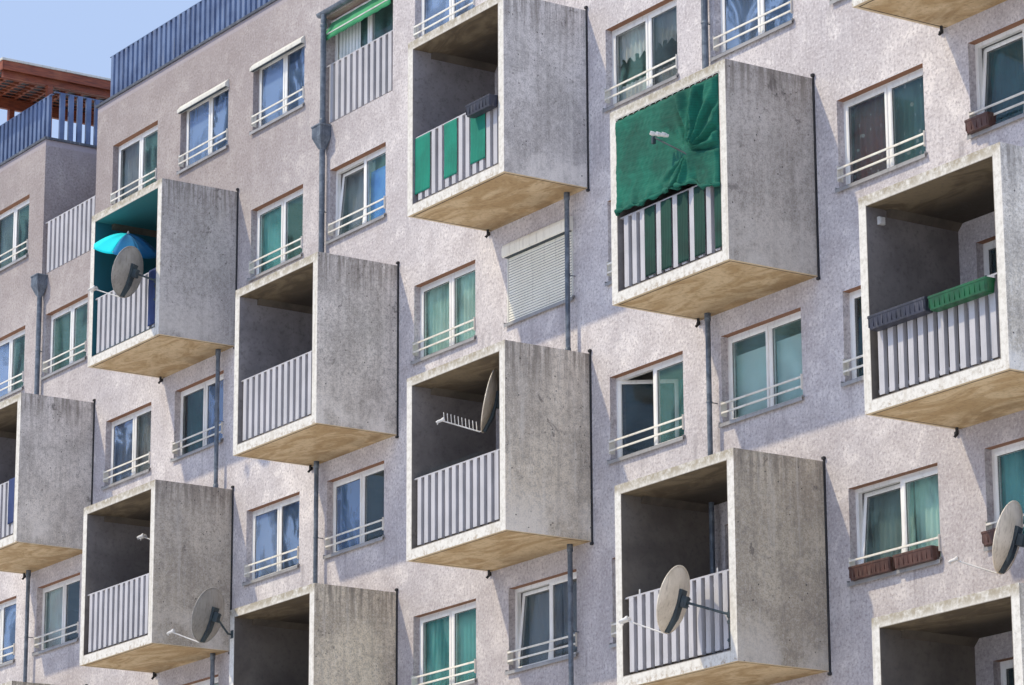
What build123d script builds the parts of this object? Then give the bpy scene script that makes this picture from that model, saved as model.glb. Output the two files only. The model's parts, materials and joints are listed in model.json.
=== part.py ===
"""Apartment block with staggered precast balcony boxes, in millimetres.

The street front faces -Y and +Z is up. The origin is the middle of the block's
footprint, at ground level. A bay is two window modules wide: the left module has a
window in every storey, the right one a balcony box in every second storey.
"""
import os

from build123d import *

# Driving dimensions of the block
bays = 6
storeys = 8
bay_pitch = 5745.0
storey_height = 2850.0
plinth_height = 1300.0
block_depth = 12000.0
end_margin = 450.0
wall = 300.0
slab = 200.0
parapet_height = 450.0
coping_thickness = 50.0
coping_overhang = 40.0

# Windows and doors
window_width = 1915.0
window_height = 1370.0
sill_height = 1120.0
window_offset = 510.0
reveal = 125.0
frame_depth = 70.0
frame_bar = 60.0
mullion_shift = 45.0
glass_thickness = 24.0
sill_projection = 45.0
sill_thickness = 30.0

# Precast balcony boxes
box_width = 2865.0
box_depth = 1600.0
box_height = 2980.0
box_side = 160.0
box_roof = 150.0
box_floor = 170.0
joint_strip = 25.0
joint_strip_rise = 40.0
haunch = 100.0
haunch_setback = 350.0

# Slatted railings
railing_top = 1300.0
railing_inset = 45.0
slat_width = 108.0
slat_thickness = 65.0
slat_pitch = 203.0
slat_floor_gap = 45.0
rail_height = 12.0

# Loggias of the top storey
loggia_left = 264.0
loggia_width = 2386.0
loggia_sill = 520.0
loggia_head = 2600.0
loggia_reveal = 225.0
loggia_railing_height = 1150.0
open_loggia_depth = 1600.0
open_loggia_wall = 200.0

# Rainwater pipes
drain_radius = 40.0
drain_standoff = 150.0
leader_radius = 52.0
leader_standoff = 95.0
pipe_inset = 395.0
pipe_facets = 12

# Shutters, flower boxes and satellite dishes
hood_height = 150.0
hood_projection = 80.0
shutter_box_height = 230.0
shutter_box_projection = 110.0
shutter_thickness = 25.0
planter_height = 190.0
planter_depth = 190.0
planter_reach = 150.0
dish_radius = 475.0
dish_hub_radius = 130.0
dish_bowl = 95.0
dish_skin = 12.0
dish_facing = Vector(-0.824, -0.485, 0.291)
dish_facets = 20
net_thickness = 30.0
cloth_thickness = 5.0
parasol_radius = 620.0
parasol_height = 300.0
parasol_crown = 60.0
parasol_ribs = 8
parasol_pole_radius = 18.0
parasol_lean = Vector(0.402, -0.084, 0.912)
mast = 40.0
arm_radius = 18.0
arm_facets = 8
hopper_width = 300.0
hopper_depth = 230.0
hopper_height = 430.0
gutter_radius = 70.0

# Roof terrace
terrace_railing_height = 1050.0
terrace_railing_setback = 190.0
terrace_length = 12350.0
pergola_width = 2000.0
pergola_depth = 4500.0
pergola_eaves = 500.0
pergola_headroom = 2080.0
pergola_post_setback = 600.0
pergola_post = 120.0
pergola_beam_height = 220.0
pergola_beam_width = 90.0
pergola_joists = 13
pergola_joist_height = 110.0
pergola_joist_width = 60.0
pergola_roof_thickness = 40.0

# Places worked out from the sizes above
module = bay_pitch / 2
block_length = bays * bay_pitch + 2 * end_margin
first_line = -bays * bay_pitch / 2
front_y = -block_depth / 2
back_y = block_depth / 2
top_storey = storeys - 1
roof_z = plinth_height + storeys * storey_height
parapet_top = roof_z + slab + parapet_height
coping_top = parapet_top + coping_thickness
head_height = sill_height + window_height
open_bay = 0
box_inner_width = box_width - 2 * box_side
bay_letters = "abcdef"

os.makedirs("parts", exist_ok=True)


def datum(storey):
    """Underside of a storey's floor slab, level with the underside of its balcony boxes."""
    return plinth_height + storey * storey_height


def box_left(bay):
    """Left face of a bay's balcony boxes, on the line of the bay's right module."""
    return first_line + bay * bay_pitch + module


def balcony_storeys(bay):
    """Storeys of a bay that have a balcony box: every second one, staggered by bay."""
    return list(range(top_storey - 2 + bay % 2, -1, -2))


def has_loggia(bay, storey):
    return storey == top_storey and bay % 2 == 0


def facade_plane(y):
    """Vertical plane facing the street, with its own x along X and its own y along Z."""
    return Plane(origin=(0, y, 0), x_dir=(1, 0, 0), z_dir=(0, -1, 0))


def level_plane(z):
    return Plane.XY.offset(z)


def window_centre_x(bay, right):
    left_line = box_left(bay) - (0 if right else module)
    return left_line + window_offset + window_width / 2


def loggia_centre_x(bay):
    return box_left(bay) + loggia_left + loggia_width / 2


def front_windows(storey):
    """Centres of a storey's windows on the street front, as (x, z)."""
    z = datum(storey) + sill_height + window_height / 2
    centres = []
    for bay in range(bays):
        centres.append((window_centre_x(bay, False), z))
        if storey not in balcony_storeys(bay) and not has_loggia(bay, storey):
            centres.append((window_centre_x(bay, True), z))
    return centres


door_height = head_height - slab


def front_doors(storey):
    """Centres of a storey's balcony doors on the street front, as (x, z)."""
    z = datum(storey) + slab + door_height / 2
    return [(window_centre_x(bay, True), z) for bay in range(bays) if storey in balcony_storeys(bay)]


french_height = loggia_head - loggia_sill
glass_height = loggia_head - slab + frame_bar


def french_windows():
    """Centres of the shallow loggias' French windows, as (x, z)."""
    z = datum(top_storey) + loggia_sill + french_height / 2
    return [
        (loggia_centre_x(bay), z)
        for bay in range(bays)
        if has_loggia(bay, top_storey) and bay != open_bay
    ]


def within(centres, x_from, x_to):
    return [centre for centre in centres if x_from < centre[0] < x_to]


def cut_openings(centres, width, height):
    """Cuts one rectangular opening at each centre from the sketch that is being made."""
    if centres:
        with Locations(*centres):
            Rectangle(width, height, mode=Mode.SUBTRACT)


def save(builder, name):
    builder.part.label = name
    export_step(builder.part, f"parts/{name}.step")


def front_wall(name, storey, x_from, x_to, z_from, z_to):
    """One storey's lift of the street front, with its windows and doors cut through."""
    with BuildPart() as lift:
        with BuildSketch(facade_plane(front_y)):
            with Locations(((x_from + x_to) / 2, (z_from + z_to) / 2)):
                Rectangle(x_to - x_from, z_to - z_from)
            cut_openings(within(front_windows(storey), x_from, x_to), window_width, window_height)
            cut_openings(within(front_doors(storey), x_from, x_to), window_width, door_height)
            if storey == top_storey:
                cut_openings(within(french_windows(), x_from, x_to), loggia_width, french_height)
        extrude(amount=-wall)
    save(lift, name)


def front_walls():
    half = block_length / 2
    for storey in range(top_storey):
        foot = datum(storey) if storey else slab
        front_wall(f"front_wall_{storey + 1}", storey, -half, half, foot, datum(storey + 1))
    notch_left = box_left(open_bay) + loggia_left
    notch_right = notch_left + loggia_width
    foot = datum(top_storey)
    name = f"front_wall_{storeys}"
    front_wall(f"{name}_left", top_storey, -half, notch_left, foot, parapet_top)
    front_wall(f"{name}_right", top_storey, notch_right, half, foot, parapet_top)
    front_wall("open_loggia_sill_wall", top_storey, notch_left, notch_right, foot, foot + loggia_sill)


def back_wall():
    """The plain rear wall: the storeys' windows repeat on the same modules."""
    with BuildPart() as rear:
        with BuildSketch(facade_plane(back_y)):
            with Locations((0, (slab + parapet_top) / 2)):
                Rectangle(block_length, parapet_top - slab)
            for storey in range(storeys):
                cut_openings(back_windows(storey), window_width, window_height)
        extrude(amount=wall)
    save(rear, "back_wall")


def back_windows(storey):
    z = datum(storey) + sill_height + window_height / 2
    return [(window_centre_x(bay, right), z) for bay in range(bays) for right in (False, True)]


def end_walls():
    for name, side in (("end_wall_left", -1), ("end_wall_right", 1)):
        with BuildPart() as end:
            with BuildSketch(level_plane(slab)):
                with Locations((side * (block_length - wall) / 2, 0)):
                    Rectangle(wall, block_depth - 2 * wall)
            extrude(amount=parapet_top - slab)
        save(end, name)


def foundation():
    with BuildPart() as base:
        with BuildSketch(level_plane(0)):
            Rectangle(block_length, block_depth)
        extrude(amount=slab)
    save(base, "foundation_slab")


def floors():
    with BuildPart() as decks:
        for storey in range(storeys):
            with BuildSketch(level_plane(datum(storey))):
                Rectangle(block_length - 2 * wall, block_depth - 2 * wall)
            extrude(amount=slab)
    save(decks, "floor_slabs")


open_left = box_left(open_bay) + loggia_left
open_right = open_left + loggia_width
open_back = front_y + open_loggia_depth


def roof():
    """Roof slab, left open over the deep loggia of the first bay."""
    with BuildPart() as deck:
        with BuildSketch(level_plane(roof_z)):
            Rectangle(block_length - 2 * wall, block_depth - 2 * wall)
            notch_depth = open_loggia_depth + open_loggia_wall - wall
            with Locations(((open_left + open_right) / 2, front_y + wall + notch_depth / 2)):
                Rectangle(loggia_width + 2 * open_loggia_wall, notch_depth, mode=Mode.SUBTRACT)
        extrude(amount=slab)
    save(deck, "roof_slab")


def open_loggia():
    """Side and back walls of the loggia that is open to the sky."""
    foot = datum(top_storey) + slab
    middle = (open_left + open_right) / 2
    with BuildPart() as niche:
        with BuildSketch(level_plane(foot)):
            depth = open_loggia_depth + open_loggia_wall - wall
            with Locations((middle, front_y + wall + depth / 2)):
                Rectangle(loggia_width + 2 * open_loggia_wall, depth)
            with Locations((middle, front_y + wall + (depth - open_loggia_wall) / 2)):
                Rectangle(loggia_width, depth - open_loggia_wall, mode=Mode.SUBTRACT)
        extrude(amount=parapet_top - foot)
        with BuildSketch(facade_plane(open_back)):
            with Locations((middle, foot + door_height / 2)):
                Rectangle(window_width, door_height)
        extrude(amount=-open_loggia_wall, mode=Mode.SUBTRACT)
    save(niche, "open_loggia_walls")


def coping():
    """Thin metal cap along the parapet, turned in round the open loggia."""
    cap = wall + 2 * coping_overhang
    with BuildPart() as metal:
        with BuildSketch(level_plane(parapet_top)):
            Rectangle(block_length + 2 * coping_overhang, block_depth + 2 * coping_overhang)
            Rectangle(
                block_length - 2 * wall - 2 * coping_overhang,
                block_depth - 2 * wall - 2 * coping_overhang,
                mode=Mode.SUBTRACT,
            )
            middle = (open_left + open_right) / 2
            notch_depth = open_loggia_depth + open_loggia_wall
            with Locations((middle, front_y + notch_depth / 2 + coping_overhang / 2)):
                Rectangle(loggia_width + 2 * open_loggia_wall, notch_depth + coping_overhang)
            with Locations((middle, front_y + open_loggia_depth / 2 - coping_overhang)):
                Rectangle(
                    loggia_width - 2 * coping_overhang,
                    open_loggia_depth,
                    mode=Mode.SUBTRACT,
                )
        extrude(amount=coping_thickness)
    save(metal, "parapet_coping")


def ceiling_haunches():
    """Sloped thickenings between the side walls and the ceiling of each balcony box."""
    with BuildPart() as wedges:
        for bay in range(bays):
            for storey in balcony_storeys(bay):
                ceiling = datum(storey) + box_height - box_roof
                with BuildSketch(facade_plane(front_y)) as slopes:
                    for side in (-1, 1):
                        edge = box_left(bay) + box_width / 2 + side * box_inner_width / 2
                        Polygon(
                            (edge, ceiling),
                            (edge - side * haunch, ceiling),
                            (edge, ceiling - haunch),
                            align=None,
                        )
                extrude(slopes.sketch, amount=box_depth - haunch_setback)
    save(wedges, "ceiling_haunches")


def balcony_boxes(bay):
    """A bay's precast boxes: floor, side walls and roof in one casting, open to the street."""
    with BuildPart() as castings:
        for storey in balcony_storeys(bay):
            middle = box_left(bay) + box_width / 2
            foot = datum(storey)
            ceiling = foot + box_height - box_roof
            with BuildSketch(facade_plane(front_y)):
                with Locations((middle, foot + box_height / 2)):
                    Rectangle(box_width, box_height)
                with Locations((middle, (foot + box_floor + ceiling) / 2)):
                    Rectangle(box_inner_width, ceiling - foot - box_floor, mode=Mode.SUBTRACT)
            extrude(amount=box_depth)
    save(castings, f"balcony_boxes_{bay_letters[bay]}")


def slatted_panel(middle, foot, top, width, face_y):
    """Adds one railing panel: flat slats that hang from a thin rail reaching from wall to wall."""
    count = int(width // slat_pitch)
    slat_foot = foot + slat_floor_gap
    with BuildSketch(facade_plane(face_y)) as panel:
        with Locations((middle, top - rail_height / 2)):
            Rectangle(width, rail_height)
        with Locations((middle, (slat_foot + top) / 2)):
            with GridLocations(slat_pitch, 0, count, 1):
                Rectangle(slat_width, top - slat_foot)
    extrude(panel.sketch, amount=-slat_thickness)


def balcony_railings(bay):
    with BuildPart() as panels:
        for storey in balcony_storeys(bay):
            slatted_panel(
                box_left(bay) + box_width / 2,
                datum(storey) + box_floor,
                datum(storey) + railing_top,
                box_inner_width,
                front_y - box_depth + railing_inset,
            )
    save(panels, f"balcony_railings_{bay_letters[bay]}")


def loggia_railings():
    with BuildPart() as panels:
        for bay in range(bays):
            if has_loggia(bay, top_storey):
                foot = datum(top_storey) + loggia_sill
                top = foot + loggia_railing_height
                slatted_panel(loggia_centre_x(bay), foot, top, loggia_width, front_y + railing_inset)
    save(panels, "loggia_railings")


def casements(centres, width, height):
    """Adds two-light frames, with the mullion a little right of the middle."""
    left_light = width / 2 + mullion_shift - 1.5 * frame_bar
    right_light = width / 2 - mullion_shift - 1.5 * frame_bar
    with Locations(*centres):
        Rectangle(width, height)
    for light, side in ((left_light, -1), (right_light, 1)):
        offset = side * (width / 2 - frame_bar - light / 2)
        with Locations(*[(x + offset, z) for x, z in centres]):
            Rectangle(light, height - 2 * frame_bar, mode=Mode.SUBTRACT)


def window_frames():
    with BuildPart() as frames:
        for storey in range(storeys):
            with BuildSketch(facade_plane(front_y + reveal)):
                casements(front_windows(storey), window_width, window_height)
            extrude(amount=-frame_depth)
    save(frames, "window_frames")


def door_frames():
    with BuildPart() as frames:
        for storey in range(top_storey):
            with BuildSketch(facade_plane(front_y + reveal)):
                casements(front_doors(storey), window_width, door_height)
            extrude(amount=-frame_depth)
        with BuildSketch(facade_plane(front_y + loggia_reveal)):
            casements(french_windows(), loggia_width, french_height)
        extrude(amount=-frame_depth)
        with BuildSketch(facade_plane(open_back + reveal / 2)):
            door_z = datum(top_storey) + slab + door_height / 2
            casements([(loggia_centre_x(open_bay), door_z)], window_width, door_height)
        extrude(amount=-frame_depth)
    save(frames, "balcony_door_frames")


def front_glass():
    """One sheet a storey closes the front windows and doors from inside."""
    half = block_length / 2 - wall
    niche_left = open_left - open_loggia_wall
    niche_right = open_right + open_loggia_wall
    with BuildPart() as panes:
        for storey in range(storeys):
            spans = [(-half, half)]
            if storey == top_storey:
                spans = [(-half, niche_left), (niche_right, half)]
            foot = datum(storey) + slab
            with BuildSketch(facade_plane(front_y + wall)):
                for left, right in spans:
                    with Locations(((left + right) / 2, foot + glass_height / 2)):
                        Rectangle(right - left, glass_height)
            extrude(amount=-glass_thickness)
        with BuildSketch(facade_plane(open_back + reveal / 2 + frame_depth)):
            with Locations((loggia_centre_x(open_bay), datum(top_storey) + slab + door_height / 2)):
                Rectangle(window_width, door_height)
        extrude(amount=-glass_thickness)
    save(panes, "front_glass")


def back_glass():
    """One sheet a storey closes the rear windows from inside."""
    with BuildPart() as panes:
        for storey in range(storeys):
            with BuildSketch(facade_plane(back_y - wall)):
                z = datum(storey) + sill_height + window_height / 2
                with Locations((0, z)):
                    Rectangle(block_length - 2 * wall, window_height + 2 * frame_bar)
            extrude(amount=glass_thickness)
    save(panes, "back_glass")


def window_sills():
    """Metal sills that lie in the reveals and stand proud of the street front."""
    depth = sill_projection + reveal
    with BuildPart() as sills:
        for storey in range(storeys):
            with BuildSketch(level_plane(datum(storey) + sill_height)):
                with Locations(*[(x, front_y - sill_projection + depth / 2) for x, _ in front_windows(storey)]):
                    Rectangle(window_width, depth)
            extrude(amount=sill_thickness)
    save(sills, "window_sills")


def joint_strips(bay):
    """Seals that close the joints between a box's sides and the wall."""
    for storey in balcony_storeys(bay):
        with BuildSketch(level_plane(datum(storey) - joint_strip_rise)) as seals:
            for side in (-1, 1):
                x = box_left(bay) + box_width / 2 + side * (box_width + joint_strip) / 2
                with Locations((x, front_y - joint_strip / 2)):
                    Rectangle(joint_strip, joint_strip)
        extrude(seals.sketch, amount=box_height + 2 * joint_strip_rise)


def all_joint_strips():
    with BuildPart() as strips:
        for bay in range(bays):
            joint_strips(bay)
    save(strips, "joint_strips")


def drain_x(bay):
    """Drains stand by the left side of the boxes in even bays, by the right side in odd ones."""
    return box_left(bay) + (box_width - pipe_inset if bay % 2 else pipe_inset)


def drain_pipes():
    """Pipe lengths below, between and inside the boxes of every bay."""
    with BuildPart() as pipes:
        for bay in range(bays):
            for storey in balcony_storeys(bay):
                foot = datum(storey)
                below = storey - 2
                pipe_foot = datum(below) + box_height if below >= 0 else 0
                spans = [(pipe_foot, foot)]
                if storey != balcony_storeys(bay)[0] or bay % 2 == 0:
                    spans.append((foot + box_floor, foot + box_height - box_roof))
                for low, high in spans:
                    with BuildSketch(level_plane(low)):
                        with Locations((drain_x(bay), front_y - drain_standoff)):
                            RegularPolygon(drain_radius, pipe_facets)
                    extrude(amount=high - low)
    save(pipes, "drain_pipes")


hopper_top = datum(top_storey) + loggia_sill - joint_strip_rise
hopper_foot = hopper_top - hopper_height


def rain_hoppers():
    """Hopper heads under the loggias' corners, tapered towards the pipe."""
    with BuildPart() as heads:
        for bay in range(bays):
            if has_loggia(bay, top_storey):
                y = front_y - hopper_depth / 2
                with BuildSketch(level_plane(hopper_foot)):
                    with Locations((drain_x(bay), front_y - leader_standoff)):
                        Rectangle(2 * leader_radius, 2 * leader_radius)
                with BuildSketch(level_plane(hopper_foot + hopper_height / 2)):
                    with Locations((drain_x(bay), y)):
                        Rectangle(hopper_width, hopper_depth)
                loft(ruled=True)
                with BuildSketch(level_plane(hopper_foot + hopper_height / 2)):
                    with Locations((drain_x(bay), y)):
                        Rectangle(hopper_width, hopper_depth)
                extrude(amount=hopper_height / 2)
    save(heads, "rain_hoppers")


def leader_pipes():
    """Rain leaders from the hoppers to the boxes, and from the gutters to the hoppers."""
    box_top = datum(top_storey - 2) + box_height
    with BuildPart() as pipes:
        for bay in range(bays):
            if has_loggia(bay, top_storey):
                spans = [(box_top, hopper_foot)]
                if bay != open_bay:
                    spans.append((hopper_top, gutter_z - gutter_radius))
                for low, high in spans:
                    with BuildSketch(level_plane(low)):
                        with Locations((drain_x(bay), front_y - leader_standoff)):
                            RegularPolygon(leader_radius, pipe_facets)
                    extrude(amount=high - low)
    save(pipes, "rain_leaders")


gutter_z = datum(top_storey) + loggia_head + gutter_radius


def gutters():
    """Half-round gutters over the shallow loggias."""
    with BuildPart() as troughs:
        for bay in range(bays):
            if has_loggia(bay, top_storey) and bay != open_bay:
                left = box_left(bay) + loggia_left - gutter_radius
                with BuildSketch(Plane(origin=(left, 0, 0), x_dir=(0, 1, 0), z_dir=(1, 0, 0))):
                    with Locations((front_y - gutter_radius, gutter_z)):
                        Circle(gutter_radius)
                        with Locations((0, gutter_radius)):
                            Rectangle(2 * gutter_radius, 2 * gutter_radius, mode=Mode.SUBTRACT)
                extrude(amount=loggia_width + 2 * gutter_radius)
    save(troughs, "loggia_gutters")


def terrace_railing():
    """Slatted railing on the coping, along the front and back beside the open loggia."""
    foot = coping_top
    run_y = front_y + terrace_railing_setback
    side_x = open_left - open_loggia_wall / 2
    left_end = -block_length / 2 + end_margin / 2
    side_length = open_loggia_depth
    right_start = open_right + open_loggia_wall / 2
    right_width = first_line + terrace_length - right_start
    with BuildPart() as runs:
        slatted_panel(right_start + right_width / 2, foot - slat_floor_gap,
                      foot + terrace_railing_height, right_width, run_y)
        front_width = side_x - slat_width - left_end
        slatted_panel(left_end + front_width / 2, foot - slat_floor_gap, foot + terrace_railing_height,
                      front_width, run_y)
        side_plane = Plane(origin=(side_x, 0, 0), x_dir=(0, 1, 0), z_dir=(1, 0, 0))
        with BuildSketch(side_plane) as side:
            middle_y = run_y + side_length / 2
            with Locations((middle_y, foot + terrace_railing_height - rail_height / 2)):
                Rectangle(side_length, rail_height)
            with Locations((middle_y, foot + terrace_railing_height / 2)):
                with GridLocations(slat_pitch, 0, int(side_length // slat_pitch), 1):
                    Rectangle(slat_width, terrace_railing_height)
        extrude(side.sketch, amount=slat_thickness)
    save(runs, "terrace_railing")


def pergola():
    """Timber shelter over the terrace: posts on the roof, and beams that reach past the street front."""
    left = -block_length / 2 + wall + coping_overhang + pergola_post
    middle_x = left + pergola_width / 2
    beams_front = front_y - pergola_eaves
    middle_y = beams_front + pergola_depth / 2
    post_front = front_y + pergola_post_setback
    post_back = beams_front + pergola_depth - pergola_post
    deck = roof_z + slab
    beam_gap = pergola_width - pergola_post
    with BuildPart() as posts:
        with BuildSketch(level_plane(deck)):
            with Locations((middle_x, (post_front + post_back) / 2)):
                with GridLocations(beam_gap, post_back - post_front, 2, 2):
                    Rectangle(pergola_post, pergola_post)
        extrude(amount=pergola_headroom)
    save(posts, "pergola_posts")
    with BuildPart() as beams:
        with BuildSketch(level_plane(deck + pergola_headroom)):
            with Locations((middle_x, middle_y)):
                with GridLocations(beam_gap, 0, 2, 1):
                    Rectangle(pergola_beam_width, pergola_depth)
        extrude(amount=pergola_beam_height)
    save(beams, "pergola_beams")
    joist_foot = deck + pergola_headroom + pergola_beam_height
    with BuildPart() as joists:
        with BuildSketch(level_plane(joist_foot)):
            with Locations((middle_x, middle_y)):
                spacing = (pergola_depth - pergola_joist_width) / (pergola_joists - 1)
                with GridLocations(0, spacing, 1, pergola_joists):
                    Rectangle(pergola_width, pergola_joist_width)
        extrude(amount=pergola_joist_height)
    save(joists, "pergola_joists")
    with BuildPart() as sheet:
        with BuildSketch(level_plane(joist_foot + pergola_joist_height)):
            with Locations((middle_x, middle_y)):
                Rectangle(pergola_width + pergola_post, pergola_depth + pergola_post)
        extrude(amount=pergola_roof_thickness)
    save(sheet, "pergola_roof")


def roller_shutters():
    """Shutter boxes over two windows of the top storey, and over a third with its shutter down."""
    with BuildPart() as boxes:
        for bay, right in ((1, True), (2, False)):
            head = datum(top_storey) + head_height
            middle_y = front_y - hood_projection / 2
            with Locations((window_centre_x(bay, right), middle_y, head - hood_height / 2)):
                Box(window_width, hood_projection, hood_height)
        shutter_x = window_centre_x(3, True)
        foot = datum(top_storey - 2)
        box_z = foot + head_height - shutter_box_height / 2
        with Locations((shutter_x, front_y - shutter_box_projection / 2, box_z)):
            Box(window_width, shutter_box_projection, shutter_box_height)
        sill_top = foot + sill_height + sill_thickness
        with BuildSketch(facade_plane(front_y)) as slats:
            with Locations((shutter_x, (sill_top + foot + head_height) / 2)):
                Rectangle(window_width, foot + head_height - sill_top)
        extrude(slats.sketch, amount=-shutter_thickness)
    save(boxes, "roller_shutters")


def flower_boxes():
    """Flower boxes, empty: on two balcony railings' fronts and on three window sills."""
    slat_face = front_y - box_depth + railing_inset
    low, high = datum(top_storey - 3), datum(top_storey - 1)
    spots = [
        (box_left(5) + 270, 1180, slat_face, low + 1065),
        (box_left(5) + 1500, 1140, slat_face, low + 1045),
        (box_left(3) + 1960, 720, slat_face - cloth_thickness, high + 1115),
    ]
    sill_rear = front_y - planter_reach + planter_depth
    for storey, start, length in (
        (top_storey - 4, -2250, 900),
        (top_storey - 4, -1290, 830),
        (top_storey - 4, 530, 480),
        (top_storey - 2, 530, 480),
    ):
        foot = datum(storey) + sill_height + sill_thickness
        spots.append((box_left(5) + start, length, sill_rear, foot))
    with BuildPart() as boxes:
        for left, length, rear, foot in spots:
            with Locations((left + length / 2, rear - planter_depth / 2, foot + planter_height / 2)):
                Box(length, planter_depth, planter_height)
    save(boxes, "flower_boxes")


def hang_cloth(bay, storey, left, right, foot, top, rear, thickness):
    """Adds one cloth as a flat sheet in front of the plane y = rear."""
    middle_x = box_left(bay) + (left + right) / 2
    with Locations((middle_x, rear - thickness / 2, datum(storey) + (foot + top) / 2)):
        Box(right - left, thickness, top - foot)


def cloths():
    """Net over one balcony's opening, panels on two railings, and cloths over two railings and a sill."""
    slat_face = front_y - box_depth + railing_inset
    wrapped_slats = (925, 1331, 1737, 2143)
    with BuildPart() as green:
        hang_cloth(4, 5, box_side, box_width - box_side, 1340, box_height - box_roof,
                   front_y - box_depth + net_thickness, net_thickness)
        for left, right in ((170, 630), (1060, 1440), (1840, 2270)):
            hang_cloth(3, 6, left, right, 350, railing_top - 20, slat_face, cloth_thickness)
        for centre in wrapped_slats:
            hang_cloth(4, 5, centre - 130, centre + 130, 250, railing_top - 20, slat_face, cloth_thickness)
    save(green, "green_cloths")
    with BuildPart() as blue:
        hang_cloth(1, 6, 2360, 2695, 300, railing_top, slat_face, cloth_thickness)
        hang_cloth(0, 5, 2400, 2695, 450, railing_top, slat_face, cloth_thickness)
        hang_cloth(5, 3, 1330, 1750, 560, 1360, front_y - sill_projection, cloth_thickness)
    save(blue, "blue_cloths")


def parasol():
    """Parasol in a balcony of the second bay: a pole from the floor, and a canopy tilted to the street."""
    storey = top_storey - 1
    x, y, rim_z = box_left(1) + 780, front_y - 1250, datum(storey) + 2190
    rim_centre = Vector(x, y, rim_z)
    crown_centre = rim_centre + parasol_lean * parasol_height
    pole_foot = datum(storey) + box_floor
    with BuildPart() as shade:
        with BuildSketch(Plane(origin=rim_centre, z_dir=parasol_lean)) as rim:
            RegularPolygon(parasol_radius, parasol_ribs)
        with BuildSketch(Plane(origin=crown_centre, z_dir=parasol_lean)) as crown:
            RegularPolygon(parasol_crown, parasol_ribs)
        loft([rim.sketch.face(), crown.sketch.face()], ruled=True)
        with BuildSketch(level_plane(pole_foot)) as pole:
            with Locations((x, y)):
                RegularPolygon(parasol_pole_radius, pipe_facets)
        extrude(pole.sketch, amount=rim_z + parasol_crown - pole_foot)
    save(shade, "parasol")


def arm(start, end):
    """Adds one straight length of tube."""
    run = end - start
    with BuildSketch(Plane(origin=start, z_dir=run.normalized())) as section:
        RegularPolygon(arm_radius, arm_facets)
    extrude(section.sketch, amount=run.length)


def bowl(centre, shrink, mode):
    """Adds or cuts a many-sided bowl that opens along dish_facing."""
    hub = centre - dish_facing * (dish_bowl - shrink)
    with BuildSketch(Plane(origin=hub, z_dir=dish_facing)) as back:
        RegularPolygon(dish_hub_radius - shrink, dish_facets)
    with BuildSketch(Plane(origin=centre, z_dir=dish_facing)) as rim:
        RegularPolygon(dish_radius - shrink, dish_facets)
    loft([back.sketch.face(), rim.sketch.face()], ruled=True, mode=mode)


def dish(centre, elbow):
    """Adds a dish, and its tube from the middle of its back to the elbow."""
    bowl(centre, 0, Mode.ADD)
    bowl(centre, dish_skin, Mode.SUBTRACT)
    arm(elbow, centre - dish_facing * dish_bowl)


def dishes():
    """Satellite dishes: two on masts inside boxes' right walls, one on a box's front, one on the wall."""
    with BuildPart() as aerials:
        for bay, storey, x, y, z, mast_foot in (
            (4, 3, 2086, -2100, 920, 230),
            (1, 6, 2500, -2080, 1189, 620),
        ):
            mast_x = box_left(bay) + box_width - box_side - mast / 2
            mast_y = front_y - box_depth + mast / 2
            foot = datum(storey) + mast_foot
            with Locations((mast_x, mast_y, foot + dish_radius / 2)):
                Box(mast, mast, dish_radius)
            top = Vector(mast_x, mast_y, foot + dish_radius - mast)
            dish(Vector(box_left(bay) + x, front_y + y, datum(storey) + z), top)
        for bay, storey, x, y, z, carrier_y, foot_x, foot_z in (
            (2, 3, -60, -2000, 2860, front_y - box_depth, 80, 2545),
            (5, 3, 1575, -600, 1033, front_y, 1830, 780),
        ):
            elbow = Vector(box_left(bay) + foot_x, carrier_y - 2 * mast, datum(storey) + foot_z)
            arm(Vector(elbow.X, carrier_y, elbow.Z), elbow + Vector(0, -arm_radius, 0))
            dish(Vector(box_left(bay) + x, front_y + y, datum(storey) + z), elbow)
    save(aerials, "satellite_dishes")


foundation()
front_walls()
back_wall()
end_walls()
floors()
roof()
open_loggia()
coping()
for bay in range(bays):
    balcony_boxes(bay)
    balcony_railings(bay)
loggia_railings()
window_frames()
door_frames()
front_glass()
back_glass()
window_sills()
all_joint_strips()
drain_pipes()
rain_hoppers()
leader_pipes()
gutters()
terrace_railing()
pergola()
ceiling_haunches()
roller_shutters()
flower_boxes()
cloths()
parasol()
dishes()
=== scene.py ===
"""Looks of the apartment block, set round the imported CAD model.

Metres. The street front faces -Y and +Z is up. A bay is two modules wide, and storeys are
counted from 0 at the ground.
"""
import math
import random

import bpy
from mathutils import Matrix, Vector
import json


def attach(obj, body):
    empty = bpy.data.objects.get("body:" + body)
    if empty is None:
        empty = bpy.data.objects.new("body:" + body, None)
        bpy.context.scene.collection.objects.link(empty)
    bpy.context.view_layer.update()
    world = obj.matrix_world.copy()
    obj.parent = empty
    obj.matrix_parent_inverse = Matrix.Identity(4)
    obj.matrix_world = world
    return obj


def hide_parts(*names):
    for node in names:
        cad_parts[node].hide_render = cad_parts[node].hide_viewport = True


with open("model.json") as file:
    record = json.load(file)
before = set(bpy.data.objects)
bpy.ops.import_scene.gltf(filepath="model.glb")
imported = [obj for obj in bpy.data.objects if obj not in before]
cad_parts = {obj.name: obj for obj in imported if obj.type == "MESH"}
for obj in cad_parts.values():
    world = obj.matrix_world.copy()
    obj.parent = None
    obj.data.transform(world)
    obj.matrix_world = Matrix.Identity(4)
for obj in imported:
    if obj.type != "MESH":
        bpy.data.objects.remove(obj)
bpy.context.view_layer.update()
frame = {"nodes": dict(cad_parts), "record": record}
random.seed(7)

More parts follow.
